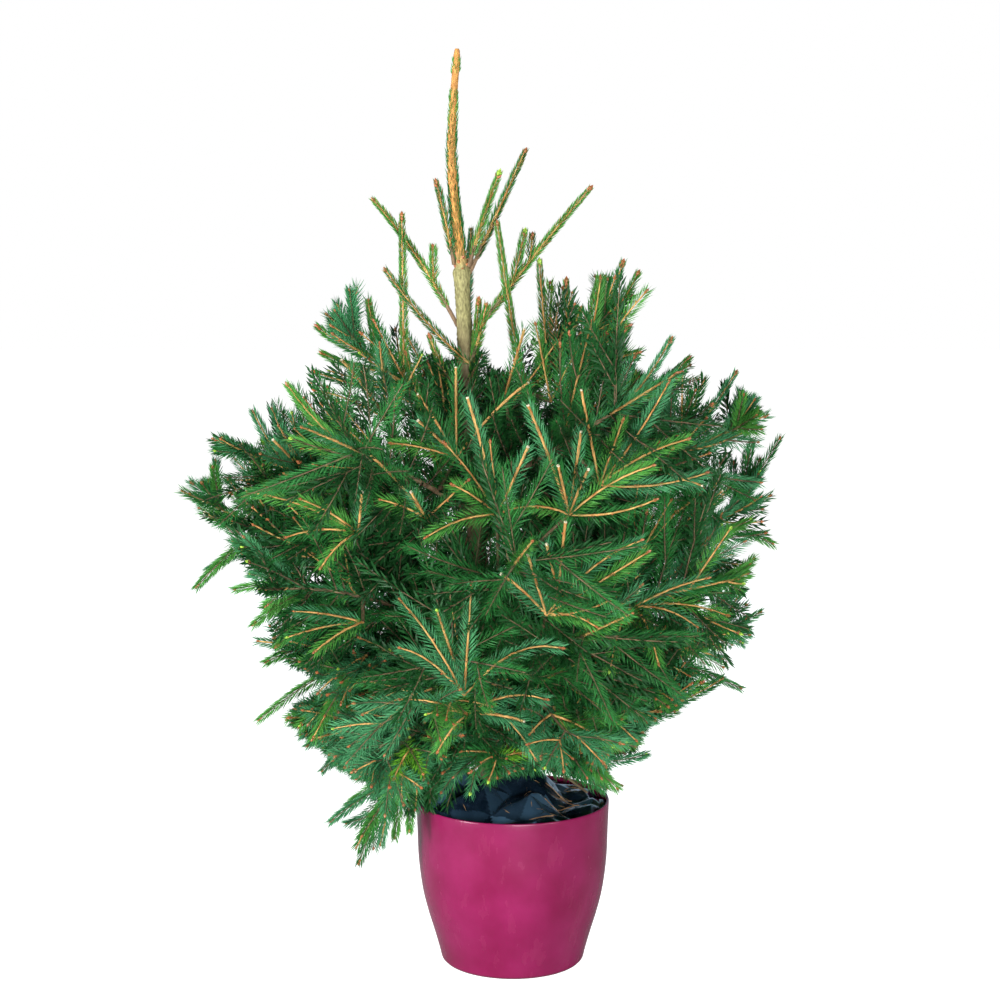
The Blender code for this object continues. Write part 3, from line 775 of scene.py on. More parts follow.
def grow_shoot(root, heading, length, tone, draw, bend, thick=YOUNG_RADIUS, brush=FULL_BRUSH, budded=True):
    """One shoot, shortened until it has room; gives its points and length."""
    points = swept(root, heading, bend, length)
    while not has_room(points[1:]):
        length *= SIDE_TRIM
        if length < SHORTEST_SHOOT:
            return None
        points = swept(root, heading, bend, length)
    cut = budded and draw.random() < CUT_CHANCE
    open_side = budded and (cut or brush == PRESSED_BRUSH or draw.random() < OPEN_SHARE)
    dress_shoot(points, thick, tone, draw, brush, budded, cut and points[-1].z > LOW_CROWN, open_side)
    return points, length


def tone_of(point, inner, draw):
    """Which green a spray has: darker near the trunk as painted shade, bluer and paler low down, partly
    painted light, and yellower to the left.
    """
    if inner:
        mix = SHADED_TONES
    elif point.z < LOW_CROWN:
        mix = LOW_BLUE_PAINTED_LIGHT_TONES
    else:
        mix = LEFT_TONES if point.x < LEFT_CROWN else OTHER_TONES
    return draw.choices(*mix)[0]


def grow_twig(root, heading, length, tone, draw, bend, outer=False):
    """A side twig: its own shoot, and finer ones to both sides at even nodes, at one node if outer."""
    brush = OUTLINE_BRUSH if outer else FULL_BRUSH
    grown = grow_shoot(root, heading, length, tone, draw, bend, YOUNG_RADIUS * 1.1, brush)
    if grown is None:
        return
    length = grown[1]
    face = face_of(root, heading, draw)
    across = heading.cross(face).normalized()
    nodes = max(1, round(length / FINE_SPACING))
    for node in range(1 if outer else nodes):
        share = (node + 0.35) / nodes * 0.85
        here = root + heading * (length * share) + bend * (length * share * share)
        for side_sign in [1, -1] + ([0] if draw.random() < 0.25 else []):
            angle = radians(draw.uniform(*FINE_ANGLE))
            lift = draw.uniform(-0.25, 0.35) if side_sign else draw.uniform(0.7, 1.0)
            away = across * side_sign + face * lift
            out = (heading * cos(angle) + away.normalized() * sin(angle)).normalized()
            fine = length * (1.0 - share) * FINE_SHARE * draw.uniform(0.85, 1.15)
            fine = min(max(fine, FINE_LENGTH[0]), FINE_LENGTH[1])
            own = tone if draw.random() < 0.75 else tone_of(here, False, draw)
            grow_shoot(here, out, fine, own, draw, heading * 0.14 + bend, YOUNG_RADIUS * 0.85, brush)


def fill_stem(line, start_share, draw, lift):
    """Single shoots that spring from a stem between its nodes, turned round it one after the other."""
    count = int(line.length * (1.0 - start_share) / STEM_SPACING)
    for step in range(count):
        share = start_share + (STEM_END - start_share) * (step + draw.uniform(0.2, 0.8)) / count
        here, heading = line.at(share)
        across, up = across_and_up(heading)
        turn = radians(GOLDEN_TURN * step + draw.uniform(-25, 25))
        angle = radians(draw.uniform(*STEM_ANGLE))
        out = (heading * cos(angle) + (across * sin(turn) + up * cos(turn)) * sin(angle)).normalized()
        length = line.length * (1.0 - share) * 0.75 * draw.uniform(0.85, 1.15)
        length = min(max(length, STEM_LENGTH[0]), STEM_LENGTH[1])
        while line.reach_of(here + out * length) > line.reach * SIDE_REACH:
            length *= SIDE_TRIM
        if line.name in FANNED and (here + out * length).y < STEM_DEPTH:
            continue
        tone = tone_of(here, share < start_share + STEM_SHADE, draw)
        grow_shoot(here, out, length, tone, draw, UP * lift + heading * 0.1)


# boughs whose drawn stem stops short of their plain solid's tip, as a share of the way
STEM_ENDS = {"upper_front_right": 0.60, "upper_front_left": 0.55, "e_left_low": 0.76, "e_right_low": 0.90,
             "g_low_left": 0.95, "g_low_right": 0.84, "g_right": 0.60, "g_left": 0.82}

# the shoots that face the front, set one by one on the plane of the view: the bough that carries them and
# the share of its way where their node's stalk leaves it; the node (across, height, depth); and each
# shoot's tip (across, height, depth, lift at half way, tone, and "cut" where it was clipped)
FRONT_FANS = (
    ("shoulder_right", 0.30, (50, 755, -60), (30, 855, -85, 0, "green"), (95, 840, -90, 0.03, "blue")),
    ("shoulder_right", 0.48, (95, 790, -50), (115, 915, -60, 0, "green"), (175, 900, -50, 0.04, "green"),
     (165, 820, -90, 0.05, "green")),
    ("d_front_right", 0.18, (-10, 765, -80), (15, 850, -100, 0, "deep", "cut")),
    ("shoulder_left", 0.40, (-165, 730, -60), (-225, 810, -90, 0.04, "deep", "cut"),
     (-175, 830, -80, -0.03, "blue"), (-120, 815, -80, 0, "deep"), (-260, 770, -90, 0.06, "green")),
    # the low front fans take mostly the paler blue green, partly their own tone and partly painted light
    # under the crown
    ("g_front", 0.36, (-65, 360, -205), (-55, 510, -245, 0, "blue"), (-150, 425, -240, 0.10, "blue"),
     (65, 425, -245, 0.16, "blue"), (-150, 490, -250, 0.06, "blue")),
    ("g_front", 0.26, (-60, 335, -190), (-150, 355, -230, 0.06, "blue"), (-115, 335, -220, 0.08, "blue"),
     (45, 355, -235, 0.12, "blue"), (15, 325, -220, 0.05, "blue", "cut"), (30, 275, -210, 0.26, "blue"),
     (-100, 285, -220, 0.10, "green")),
    ("f_front_right", 0.35, (45, 470, -190), (-15, 525, -235, 0.04, "blue", "cut"),
     (20, 550, -250, 0, "blue", "cut"), (130, 490, -240, -0.06, "deep"), (170, 570, -270, 0.08, "blue"),
     (180, 555, -255, 0, "green"), (110, 455, -230, 0.10, "green")),
    ("f_front_right", 0.40, (60, 500, -210), (45, 565, -240, 0, "blue", "cut"),
     (70, 595, -245, 0, "deep", "cut")),
    ("e_front", 0.35, (-20, 605, -175), (-60, 760, -200, 0.05, "blue", "cut"),
     (-80, 645, -215, 0.04, "green"), (-115, 575, -205, 0.08, "green"), (20, 695, -225, 0, "blue", "cut"),
     (-30, 700, -190, 0, "deep"), (-90, 700, -180, 0.05, "deep")),
    ("e_front", 0.46, (75, 605, -180), (20, 750, -210, 0.03, "blue", "cut"),
     (60, 670, -225, 0, "deep", "cut"), (100, 665, -230, 0.04, "blue", "cut"),
     (90, 715, -215, 0, "blue", "cut"), (-10, 610, -240, 0.08, "green"), (185, 670, -250, 0.06, "green"),
     (190, 625, -240, -0.06, "deep")),
    ("d_front_right", 0.45, (115, 645, -150), (205, 780, -190, -0.05, "blue"),
     (145, 730, -185, 0, "green"), (90, 770, -180, 0, "deep", "cut"), (230, 705, -200, 0.06, "green"),
     (255, 660, -180, -0.06, "blue")),
    ("d_front_left", 0.20, (-75, 680, -120), (-125, 765, -140, 0.04, "deep", "cut"),
     (-125, 730, -150, 0.03, "blue", "cut"), (20, 780, -140, 0.06, "deep", "cut"),
     (-75, 800, -120, 0, "deep", "cut"), (-160, 700, -160, 0.04, "green")),
    ("d_front_left", 0.42, (-115, 600, -150), (-135, 635, -180, 0, "blue", "cut"),
     (-190, 685, -190, 0.05, "deep", "cut"), (-175, 625, -190, 0.04, "green"), (-60, 650, -190, 0, "deep")),
    ("e_left", 0.40, (-205, 580, -130), (-200, 635, -165, 0, "blue", "cut"),
     (-280, 625, -170, 0.05, "green"), (-350, 635, -140, 0.06, "green"), (-300, 575, -160, 0.08, "deep"),
     (-255, 535, -180, 0.10, "green")),
    ("e_left_low", 0.40, (-200, 460, -110), (-290, 475, -150, 0.03, "blue"),
     (-265, 420, -170, 0.05, "green"), (-300, 440, -140, 0.04, "deep")),
    ("f_left", 0.42, (-195, 415, -60), (-260, 365, -110, 0.06, "blue"), (-230, 350, -120, 0.08, "blue")),
    ("g_left", 0.45, (-185, 310, -70), (-280, 340, -110, 0.04, "blue"), (-270, 300, -120, 0.05, "blue"),
     (-215, 275, -130, 0.06, "green")),
    ("e_right_low", 0.40, (160, 480, -110), (260, 520, -150, 0.04, "blue"), (245, 455, -170, 0.10, "blue"),
     (195, 405, -180, 0.16, "green"), (285, 470, -140, 0.08, "green"), (130, 395, -170, 0.20, "green")),
    # the lowest fans take mostly the paler blue green, partly their own tone and partly painted light under
    # the crown
    ("g_low_right", 0.40, (80, 330, -90), (165, 300, -130, 0.16, "blue"), (125, 265, -140, 0.26, "blue"),
     (190, 330, -110, 0.12, "blue"), (90, 290, -150, 0.20, "blue")),
    ("g_low_left", 0.40, (-140, 315, -70), (-195, 255, -110, 0.16, "green"),
     (-150, 240, -120, 0.22, "blue"), (-235, 300, -90, 0.10, "blue"), (-150, 220, -100, 0.24, "green"),
     (-125, 265, -125, 0.20, "blue")))

# the rods of the second tier and the single shoots on the crown's outline: the bough that carries them,
# and for each the share of its way where it leaves that bough, and its tip (across, height, depth)
TOP_RODS = (
    ("upper_left", (0.30, -105, 955, -10)),
    ("shoulder_left", (0.42, -145, 995, -20)),
    ("upper_front_right", (0.02, -165, 925, -20)),
    ("shoulder_back", (0.04, -45, 885, -30)),
    ("upper_right", (0.35, 15, 975, 0), (0.50, 25, 970, 10)),
    ("shoulder_right", (0.30, -20, 985, -20), (0.45, 35, 935, 5), (0.55, 70, 910, 10)),
    ("d_front_left", (0.12, -140, 815, -50)))
OUTLINE_SHOOTS = (
    ("shoulder_left", (0.72, -215, 900, 0), (0.60, -190, 890, 10), (0.66, -260, 855, -10),
     (0.54, -255, 820, -20), (0.42, -265, 795, -30)),
    ("d_front_left", (0.75, -300, 780, -190)),
    ("d_left", (0.62, -320, 750, -10), (0.68, -345, 745, 10), (0.72, -360, 700, -10)),
    ("e_left", (0.70, -425, 505, -5), (0.64, -410, 530, 10), (0.74, -405, 600, 10), (0.62, -380, 655, -10)),
    ("e_left_low", (0.60, -375, 505, -60), (0.58, -350, 455, -70), (0.45, -320, 425, -80)),
    ("f_left", (0.72, -335, 405, 20), (0.60, -290, 400, 10), (0.48, -260, 390, -10), (0.50, -345, 325, 10)),
    ("g_left", (0.62, -290, 305, -30), (0.55, -280, 290, -50), (0.42, -260, 255, -50)),
    ("g_low_left", (0.42, -215, 245, -60), (0.50, -225, 210, -70), (0.58, -250, 185, -80),
     (0.70, -210, 125, -90), (0.58, -160, 160, -60), (0.64, -180, 150, -80), (0.50, -140, 170, -90)),
    ("shoulder_right", (0.62, 115, 920, 10), (0.74, 145, 940, 0), (0.84, 165, 925, 10),
     (0.50, 90, 880, -20), (0.68, 155, 855, -20), (0.56, 165, 820, -30)),
    ("d_front_right", (0.72, 210, 840, -150), (0.80, 220, 790, -170)),
    ("d_back_right", (0.70, 235, 815, 150)),
    ("d_right", (0.64, 295, 795, -10), (0.78, 320, 760, 0), (0.70, 325, 725, -30)),
    ("e_right", (0.80, 355, 710, -10), (0.72, 330, 655, 10), (0.58, 300, 655, 0), (0.70, 340, 580, 10),
     (0.76, 350, 565, 20), (0.60, 320, 600, -10)),
    ("f_right", (0.72, 335, 475, 40), (0.60, 285, 410, 30), (0.50, 270, 430, 10)),
    ("e_right_low", (0.66, 320, 540, -100)),
    ("f_right", (0.45, 310, 370, 20)),
    ("g_right", (0.55, 285, 385, -30), (0.48, 225, 340, -30), (0.38, 195, 325, -40)),
    ("g_low_right", (0.60, 185, 280, -110), (0.66, 145, 230, -120)))
NEEDLE_REACH = 0.006
OUTLINE_LIFT = 0.06
ROD_LIFT = -0.05
ROD_STEM = 1.15
STALK_LIFT = 0.02
STALK_RADII = (0.0030, 0.0022)
FAN_DEPTH = -0.12
STEM_DEPTH = -0.17
FANNED = {row[0] for row in FRONT_FANS}


def grow_front(seed):
    """The fans of shoots that face the front, the outline's shoots and the second tier's rods."""
    draw = random.Random(seed)
    carriers = {line.name: line for line in lines}
    for name, share, place, *shoots in FRONT_FANS:
        node = set_in_view(*place)
        stalk = arched(carriers[name].at(share)[0], node, STALK_LIFT)
        twigs["old"].append((stalk, *STALK_RADII))
        face = face_of(node, (node - stalk[0]).normalized(), draw)
        brushes["deep"].append((stalk, face, 0.0026, *OUTLINE_BRUSH))
        for across, height, depth, lift, tone, *end in shoots:
            points = arched(node, set_in_view(across, height, depth), lift)
            dress_shoot(points, YOUNG_RADIUS * 1.05, tone, draw, FAN_BRUSH, cut=bool(end))
    for name, *shoots in OUTLINE_SHOOTS:
        for share, *place in shoots:
            root, tip = carriers[name].at(share)[0], set_in_view(*place)
            tip -= (tip - root).normalized() * NEEDLE_REACH
            points = arched(root, tip, OUTLINE_LIFT * (1.0 if tip.z < root.z else -1.0))
            tone = draw.choice(("green", "green", "blue", "deep"))
            high = tip.z > NARROW_HEIGHT
            open_side = high or draw.random() < OPEN_SHARE
            brush = NARROW_BRUSH if high else OUTLINE_BRUSH
            dress_shoot(points, YOUNG_RADIUS, tone, draw, brush, open_side=open_side)
    for name, *shoots in TOP_RODS:
        for share, *place in shoots:
            points = arched(carriers[name].at(share)[0], set_in_view(*place), ROD_LIFT)
            dress_shoot(points, YOUNG_RADIUS * ROD_STEM, draw.choice(("deep", "green")), draw, PRESSED_BRUSH)


def grow_mass(line, start_share, seed):
    """Everything that stands for one foliage mass, and the needled stem that carries it."""
    draw = random.Random(1000 + seed)
    end = STEM_ENDS.get(line.name, 1.0) - (ROD_TIP_GAP if line.slender else STEM_TIP_GAP) / line.length
    stem, points = ([line.at(first + (end - first) * i / STEM_STEPS)[0] for i in range(STEM_STEPS + 1)]
                    for first in (line.barked, NEEDLED_FROM[line.thick]))
    twigs["young"].append((stem, line.radius(line.barked), line.radius(1.0)))
    brush = PRESSED_BRUSH if line.slender else FULL_BRUSH
    face = face_of(points[3], line.at(0.7)[1], draw)
    tone = tone_of(points[6], False, draw)
    for own in (tone, tone, "dry") if line.slender else ("deep", tone):
        brushes[own].append((points, face, line.radius(0.8), *brush))
    tip_buds(points, line.at(end)[1], draw, draw.random() < 0.2, ROD_BUD if line.slender else 1.0)
    if line.single or line.slender:
        return
    lift = RISING_LIFT if line.tip.z > line.axis.z + 0.10 else SINKING_LIFT
    for root, heading, length in side_shoots(line, start_share, seed):
        bend = UP * (lift + draw.uniform(-0.10, 0.10)) + line.outward * draw.uniform(0.0, 0.10)
        tip = root + heading * length
        if line.name in FANNED and tip.y < FAN_DEPTH:
            continue
        tone = tone_of(root, line.reach_of(root) < line.reach * INNER_REACH, draw)
        outer = line.reach_of(tip) > line.reach * OUTER_REACH
        grow_twig(root, heading, length, tone, draw, bend, outer)
    fill_stem(line, start_share, draw, lift)


INNER_SHARES = (0.10, 0.18, 0.27, 0.36, 0.46, 0.56, 0.66)
INNER_ROUNDS = 5
INNER_LENGTH = (0.095, 0.155)
INNER_RADIUS = 0.0014
INNER_SIDE_RADIUS = 0.0012


def grow_inner(line, seed):
    """Shaded twigs along the inner part of a limb, turned round it, where the crown closes over it."""
    draw = random.Random(5000 + seed)
    for step, share in enumerate(INNER_SHARES * INNER_ROUNDS):
        here, heading = line.at(share + 0.01 * (step % 4))
        across, up = across_and_up(heading)
        turn = radians(GOLDEN_TURN * step + draw.uniform(-20, 20))
        out = (heading * 0.55 + (across * cos(turn) + up * sin(turn))).normalized()
        length = draw.uniform(*INNER_LENGTH)
        tone = tone_of(here, True, draw)
        bend = heading * 0.1 + UP * draw.uniform(-0.1, 0.1)
        grown = grow_shoot(here, out, length, tone, draw, bend, INNER_RADIUS, budded=False)
        if grown and draw.random() < 0.6:
            points, length = grown
            turned = (out * 0.7 + heading.cross(out).normalized() * draw.choice((-0.7, 0.7))).normalized()
            grow_shoot(points[2], turned, length * 0.75, tone, draw, out * 0.1, INNER_SIDE_RADIUS,
                       budded=False)


LOW_TWIGS = 23
LOW_TWIG_LENGTH = (0.15, 0.23)
LOW_TWIG_RADII = (0.0030, 0.0016)
LOW_TWIG_DROOP = -0.28
LOWEST_TWIG = 0.275
TRUNK_TWIGS = 84
TRUNK_TWIG_LENGTH = (0.060, 0.115)


def grow_skirt(seed):
    """Low twigs round the trunk's foot, level or drooping, that close the crown over the pot."""
    draw = random.Random(seed)
    for step in range(LOW_TWIGS):
        centre = trunk_centre(LOWEST_TWIG + 0.15 * (step * 7 % LOW_TWIGS) / LOW_TWIGS)[0]
        turn = tau * (step + draw.uniform(-0.3, 0.3)) / LOW_TWIGS
        out = Vector((cos(turn), sin(turn), draw.uniform(0.05, 0.38))).normalized()
        points = swept(centre, out, UP * LOW_TWIG_DROOP, draw.uniform(*LOW_TWIG_LENGTH))
        twigs["old"].append((points, *LOW_TWIG_RADII))
        for place in range(2, len(points)):
            heading = (points[place] - points[place - 1]).normalized()
            across = UP.cross(heading).normalized()
            for side_sign in (1, -1):
                way = (heading * 0.65 + across * side_sign * 0.75
                       + UP * draw.uniform(-0.2, 0.25)).normalized()
                tone = tone_of(points[place], place < 4, draw)
                grow_twig(points[place], way, draw.uniform(0.075, 0.105), tone, draw, UP * -0.12)


def grow_on_trunk(seed):
    """Short twigs that spring from the trunk between the whorls."""
    draw = random.Random(seed)
    for step in range(TRUNK_TWIGS):
        centre, radius = trunk_centre(LOWEST_TWIG + 0.545 * step / TRUNK_TWIGS)
        turn = radians(GOLDEN_TURN * step + draw.uniform(-15, 15))
        out = Vector((cos(turn), sin(turn), draw.uniform(0.1, 0.9))).normalized()
        length, tone = draw.uniform(*TRUNK_TWIG_LENGTH), tone_of(centre, True, draw)
        root = centre + out * radius * 0.5
        grow_shoot(root, out, length, tone, draw, UP * 0.1, INNER_RADIUS, budded=False)


for seed, line in enumerate(lines):
    grow_mass(line, LIMB_SHARE if line.thick else 0.0, seed)
    if line.thick:
        grow_inner(line, seed)
grow_on_trunk(77)
grow_skirt(31)
grow_front(57)


# Leader needles: short, stiff and pressed against it, thinning out to its bare orange tip, with a
# crown of buds at that tip and a ring of them at the top whorl.
LEADER_RUNS = ((0.936, 1.030, "deep", 0.0150), (1.030, 1.110, "deep", 0.0140),
               (1.110, 1.155, "green", 0.0110), (1.178, 1.196, "green", 0.0100))
LEADER_TURNS = (0, 90, 200)
LEADER_THINNING = 1.10
LEADER_PRESS = (0.10, 0.36)
LEADER_BUDS = 5
WHORL_BUDS = 14
for low, high, tone, needle in LEADER_RUNS:
    points = [trunk_centre(low + (high - low) * i / 8)[0] for i in range(9)]
    thick = trunk_centre((low + high) / 2)[1] * 0.9
    for turn in LEADER_TURNS if high < LEADER_THINNING else LEADER_TURNS[:2]:
        side_face = Vector((sin(radians(turn)), -cos(radians(turn)), 0.0))
        brushes[tone].append((points, side_face, thick, needle, *LEADER_PRESS))
tip = trunk_centre(TRUNK_AXIS[-1][1] - 0.003)[0]
for turn in range(LEADER_BUDS):
    angle = tau * turn / LEADER_BUDS
    out = Vector((cos(angle), sin(angle), 1.6)).normalized()
    buds["brown"].append((tip - UP * 0.0045 + out * 0.0015, out, 0.0055))
for turn in range(WHORL_BUDS):
    centre, radius = trunk_centre(WHORL_HEIGHT - 0.008 + 0.0022 * turn)
    out = Vector((cos(2.4 * turn), sin(2.4 * turn), 0.8)).normalized()
    buds["brown"].append((centre + out * radius * 0.7, out, 0.0070))


# Twigs: a year or two old, round and smooth to ribbed, orange-tan wood that greys with age. Each is
# a five-sided tube that tapers along its shoot.
TWIG_SIDES = 5
TWIG_WOOD = {"young": ((0.30, 0.130, 0.034, 1.0), (0.68, 0.40, 0.140, 1.0), (0.42, 0.32, 0.11, 1.0)),
             "old": ((0.060, 0.040, 0.022, 1.0), (0.20, 0.135, 0.075, 1.0), (0.11, 0.10, 0.06, 1.0))}
# what the lines and points carry for the trees, taken off again from the finished mesh
STORED = ("thick", "face", "needle", "parting", "lay", "peg", "heading", "size")


def lines_mesh(rows):
    """A mesh of bare lines; rows are (points, {attribute: a value, or one for each point})."""
    corners, edges, kept = [], [], {}
    for points, values in rows:
        first = len(corners)
        corners += points
        edges += [(i, i + 1) for i in range(first, len(corners) - 1)]
        for key, value in values.items():
            kept.setdefault(key, []).extend(value if isinstance(value, list) else [value] * len(points))
    mesh = bpy.data.meshes.new("lines")
    mesh.from_pydata(corners, edges, [])
    for key, values in kept.items():
        vector = isinstance(values[0], Vector)
        layer = mesh.attributes.new(key, "FLOAT_VECTOR" if vector else "FLOAT", "POINT")
        flat = [part for value in values for part in value] if vector else values
        layer.data.foreach_set("vector" if vector else "value", flat)
    return mesh


def new_tree(name, sockets):
    """A geometry tree with its named inputs, and what feeds its inside."""
    tree = bpy.data.node_groups.new(name, "GeometryNodeTree")
    tree.interface.new_socket("Geometry", in_out="INPUT", socket_type="NodeSocketGeometry")
    for socket, kind, value in sockets:
        made = tree.interface.new_socket(socket, in_out="INPUT", socket_type="NodeSocket" + kind)
        if value is not None:
            made.default_value = value
    tree.interface.new_socket("Geometry", in_out="OUTPUT", socket_type="NodeSocketGeometry")
    return tree, fit_node(tree, "NodeGroupInput").outputs


def end_tree(tree, geometry, finish):
    """Close a tree: real instances, then the finish."""
    real = fit_node(tree, "GeometryNodeRealizeInstances", {"Geometry": geometry}).outputs[0]
    done = fit_node(tree, "GeometryNodeSetMaterial", {"Geometry": real, "Material": finish}).outputs[0]
    fit_node(tree, "NodeGroupOutput", {0: done})


def named(tree, name, data_type):
    """A value stored on the lines or points."""
    made = fit_node(tree, "GeometryNodeInputNamedAttribute", {"Name": name}, data_type=data_type)
    return made.outputs["Attribute"]


def grow_piece(name, rows, tree, finish, settings, nodes=(), smooth=False):
    """Run a tree on lines or points, and set what it makes on the plant as a plain mesh."""
    source = lines_mesh(rows)
    holder = add_object(name + "_lines", source)
    modifier = holder.modifiers.new("grow", "NODES")
    modifier.node_group = tree
    settings = {"Finish": finish, **settings}
    for item in tree.interface.items_tree:
        if item.in_out == "INPUT" and item.name in settings:
            modifier[item.identifier] = settings[item.name]
    depsgraph = bpy.context.evaluated_depsgraph_get()
    mesh = bpy.data.meshes.new_from_object(holder.evaluated_get(depsgraph))
    holder.modifiers.remove(modifier)
    bpy.data.objects.remove(holder)
    bpy.data.meshes.remove(source)
    mesh.name = name
    for layer in [layer.name for layer in mesh.attributes if layer.name in STORED]:
        mesh.attributes.remove(mesh.attributes[layer])
    if smooth:
        mesh.polygons.foreach_set("use_smooth", [True] * len(mesh.polygons))
    place_piece(name, mesh, finish, nodes)


twig_tree, wires = new_tree("twigs_along_lines", (
    ("Sides", "Int", TWIG_SIDES), ("Finish", "Material", None)))
curve = fit_node(twig_tree, "GeometryNodeMeshToCurve", {"Mesh": wires["Geometry"]}).outputs[0]
feeds = {"Resolution": wires["Sides"], "Radius": 1.0}
ring = fit_node(twig_tree, "GeometryNodeCurvePrimitiveCircle", feeds).outputs[0]
feeds = {"Curve": curve, "Profile Curve": ring, "Fill Caps": True,
         "Scale": named(twig_tree, "thick", "FLOAT")}
tubes = fit_node(twig_tree, "GeometryNodeCurveToMesh", feeds).outputs[0]
end_tree(twig_tree, tubes, wires["Finish"])

spray_names = ["spray_" + line.name for line in lines]
for kind, shoots in twigs.items():
    rows = []
    for points, thick, thin in shoots:
        count = len(points) - 1
        rows.append((points, {"thick": [thick + (thin - thick) * i / count for i in range(count + 1)]}))
    wood = bark_look(kind + "_twig_wood", *TWIG_WOOD[kind])
    grow_piece(kind + "_twigs", rows, twig_tree, wood, {"Sides": TWIG_SIDES}, spray_names, True)


# Needles: stiff, four-angled and pointed, some 19 mm long, set singly round each shoot on small pegs.
# They lean forward, part on the shoot's open side and shorten at its ends. Each green has its pieces.
NEEDLE_WIDTH = 0.00145
SHADE_WIDTH = 0.0036
NEEDLE_KEEL = 0.30
NEEDLE_BELLY = 0.38
NEEDLE_SPACING = {"shade": 0.0022, "deep": 0.00105, "blue": 0.00084, "green": 0.00084,
                  "fresh": 0.00084, "dry": 0.0020}
NEEDLE_LAY = {"Base Lay": 1.00, "Tip Lay": 0.52}
# the shade green darkens the sprays inside the crown: a painted shade
NEEDLE_TONES = {"shade": ((0.002, 0.024, 0.005), (0.010, 0.075, 0.015)),
                "deep": ((0.006, 0.070, 0.012), (0.028, 0.185, 0.038)),
                "blue": ((0.014, 0.105, 0.036), (0.070, 0.280, 0.115)),
                "green": ((0.020, 0.128, 0.016), (0.088, 0.310, 0.052)),
                "fresh": ((0.060, 0.230, 0.012), (0.160, 0.430, 0.030)),
                "dry": ((0.130, 0.065, 0.018), (0.340, 0.200, 0.070))}
GOLDEN_SHARE = 0.381966
PIECE_NEEDLES = 46000

# the template: foot, tip and the two edges of the belly
needle_corners = [(0, 0, 0), (0, 0, 1), (-0.5, NEEDLE_KEEL, NEEDLE_BELLY), (0.5, NEEDLE_KEEL, NEEDLE_BELLY)]
needle_mesh = mesh_from("needle", needle_corners, [(0, 3, 2), (1, 2, 3), (0, 2, 1), (0, 1, 3)], smooth=False)
needle_shape = add_object("needle_shape", needle_mesh)

needle_tree, wires = new_tree("needles_along_lines", (
    ("Needle", "Object", None), ("Spacing", "Float", 0.0007), ("Base Lay", "Float", 1.02),
    ("Tip Lay", "Float", 0.62), ("Width", "Float", NEEDLE_WIDTH), ("Seed", "Int", 1),
    ("Finish", "Material", None)))


def sum_of(kind, first, second=0.0, third=0.0):
    """One step of arithmetic in the needle tree."""
    feeds = {0: first, 1: second, 2: third}
    return fit_node(needle_tree, "ShaderNodeMath", feeds, operation=kind).outputs[0]


def vector_of(kind, first, second=None):
    """One step of vector arithmetic in the needle tree."""
    feeds = {0: first} if second is None else {0: first, 1: second}
    return fit_node(needle_tree, "ShaderNodeVectorMath", feeds, operation=kind).outputs[0]


def scaled(vector, factor):
    """A vector made longer or shorter in the needle tree."""
    feeds = {0: vector, "Scale": factor}
    return fit_node(needle_tree, "ShaderNodeVectorMath", feeds, operation="SCALE").outputs[0]


def chance(low, high, offset):
    """A random value for each needle."""
    feeds = {"Seed": sum_of("ADD", wires["Seed"], offset), 2: low, 3: high}
    return fit_node(needle_tree, "FunctionNodeRandomValue", feeds, data_type="FLOAT").outputs[1]


# where a needle stands on its shoot, and how far it has turned round it
curve = fit_node(needle_tree, "GeometryNodeMeshToCurve", {"Mesh": wires["Geometry"]}).outputs[0]
feeds = {"Curve": curve, "Length": wires["Spacing"]}
spots = fit_node(needle_tree, "GeometryNodeResampleCurve", feeds, mode="LENGTH").outputs[0]
along = fit_node(needle_tree, "GeometryNodeSplineParameter").outputs["Factor"]
tangent = fit_node(needle_tree, "GeometryNodeInputTangent").outputs[0]
face = named(needle_tree, "face", "FLOAT_VECTOR")
parting = named(needle_tree, "parting", "FLOAT")
length = named(needle_tree, "needle", "FLOAT")
lay = named(needle_tree, "lay", "FLOAT")
index = fit_node(needle_tree, "GeometryNodeInputIndex").outputs[0]
turn = sum_of("MULTIPLY", sum_of("MULTIPLY_ADD", index, GOLDEN_SHARE, chance(-0.06, 0.06, 1)), tau)
parted = sum_of("MULTIPLY_ADD", sum_of("SINE", sum_of("MULTIPLY", turn, 2.0)), parting, turn)
facing = sum_of("COSINE", parted)
across = vector_of("NORMALIZE", vector_of("CROSS_PRODUCT", tangent, face))
front = vector_of("CROSS_PRODUCT", across, tangent)
radial = vector_of("ADD", scaled(front, facing), scaled(across, sum_of("SINE", parted)))

# its lean and its length, and the needle set there on the surface of the wood
leaning = spread(needle_tree, along, wires["Base Lay"], wires["Tip Lay"])
uneven = sum_of("MULTIPLY_ADD", facing, -0.22, chance(0.88, 1.14, 2))
lean = sum_of("MULTIPLY", sum_of("MULTIPLY", leaning, lay), uneven)
needle_way = vector_of("ADD", scaled(tangent, sum_of("COSINE", lean)), scaled(radial, sum_of("SINE", lean)))
turned_to = fit_node(needle_tree, "FunctionNodeAxesToRotation", {0: needle_way, 1: tangent},
                     primary_axis="Z", secondary_axis="X").outputs[0]
ends = spread(needle_tree, along, 1.0, 0.66, 0.80, 1.0)
starts = spread(needle_tree, along, 0.70, 1.0, 0.0, 0.08)
varied = sum_of("MULTIPLY", length, chance(0.82, 1.12, 3))
long = sum_of("MULTIPLY", varied, sum_of("MULTIPLY", ends, starts))
feeds = {0: wires["Width"], 1: wires["Width"], 2: long}
size = fit_node(needle_tree, "ShaderNodeCombineXYZ", feeds).outputs[0]
feeds = {"Object": wires["Needle"], "As Instance": True}
shape = fit_node(needle_tree, "GeometryNodeObjectInfo", feeds).outputs["Geometry"]
feeds = {"Geometry": spots, "Name": "peg", "Value": scaled(radial, named(needle_tree, "thick", "FLOAT"))}
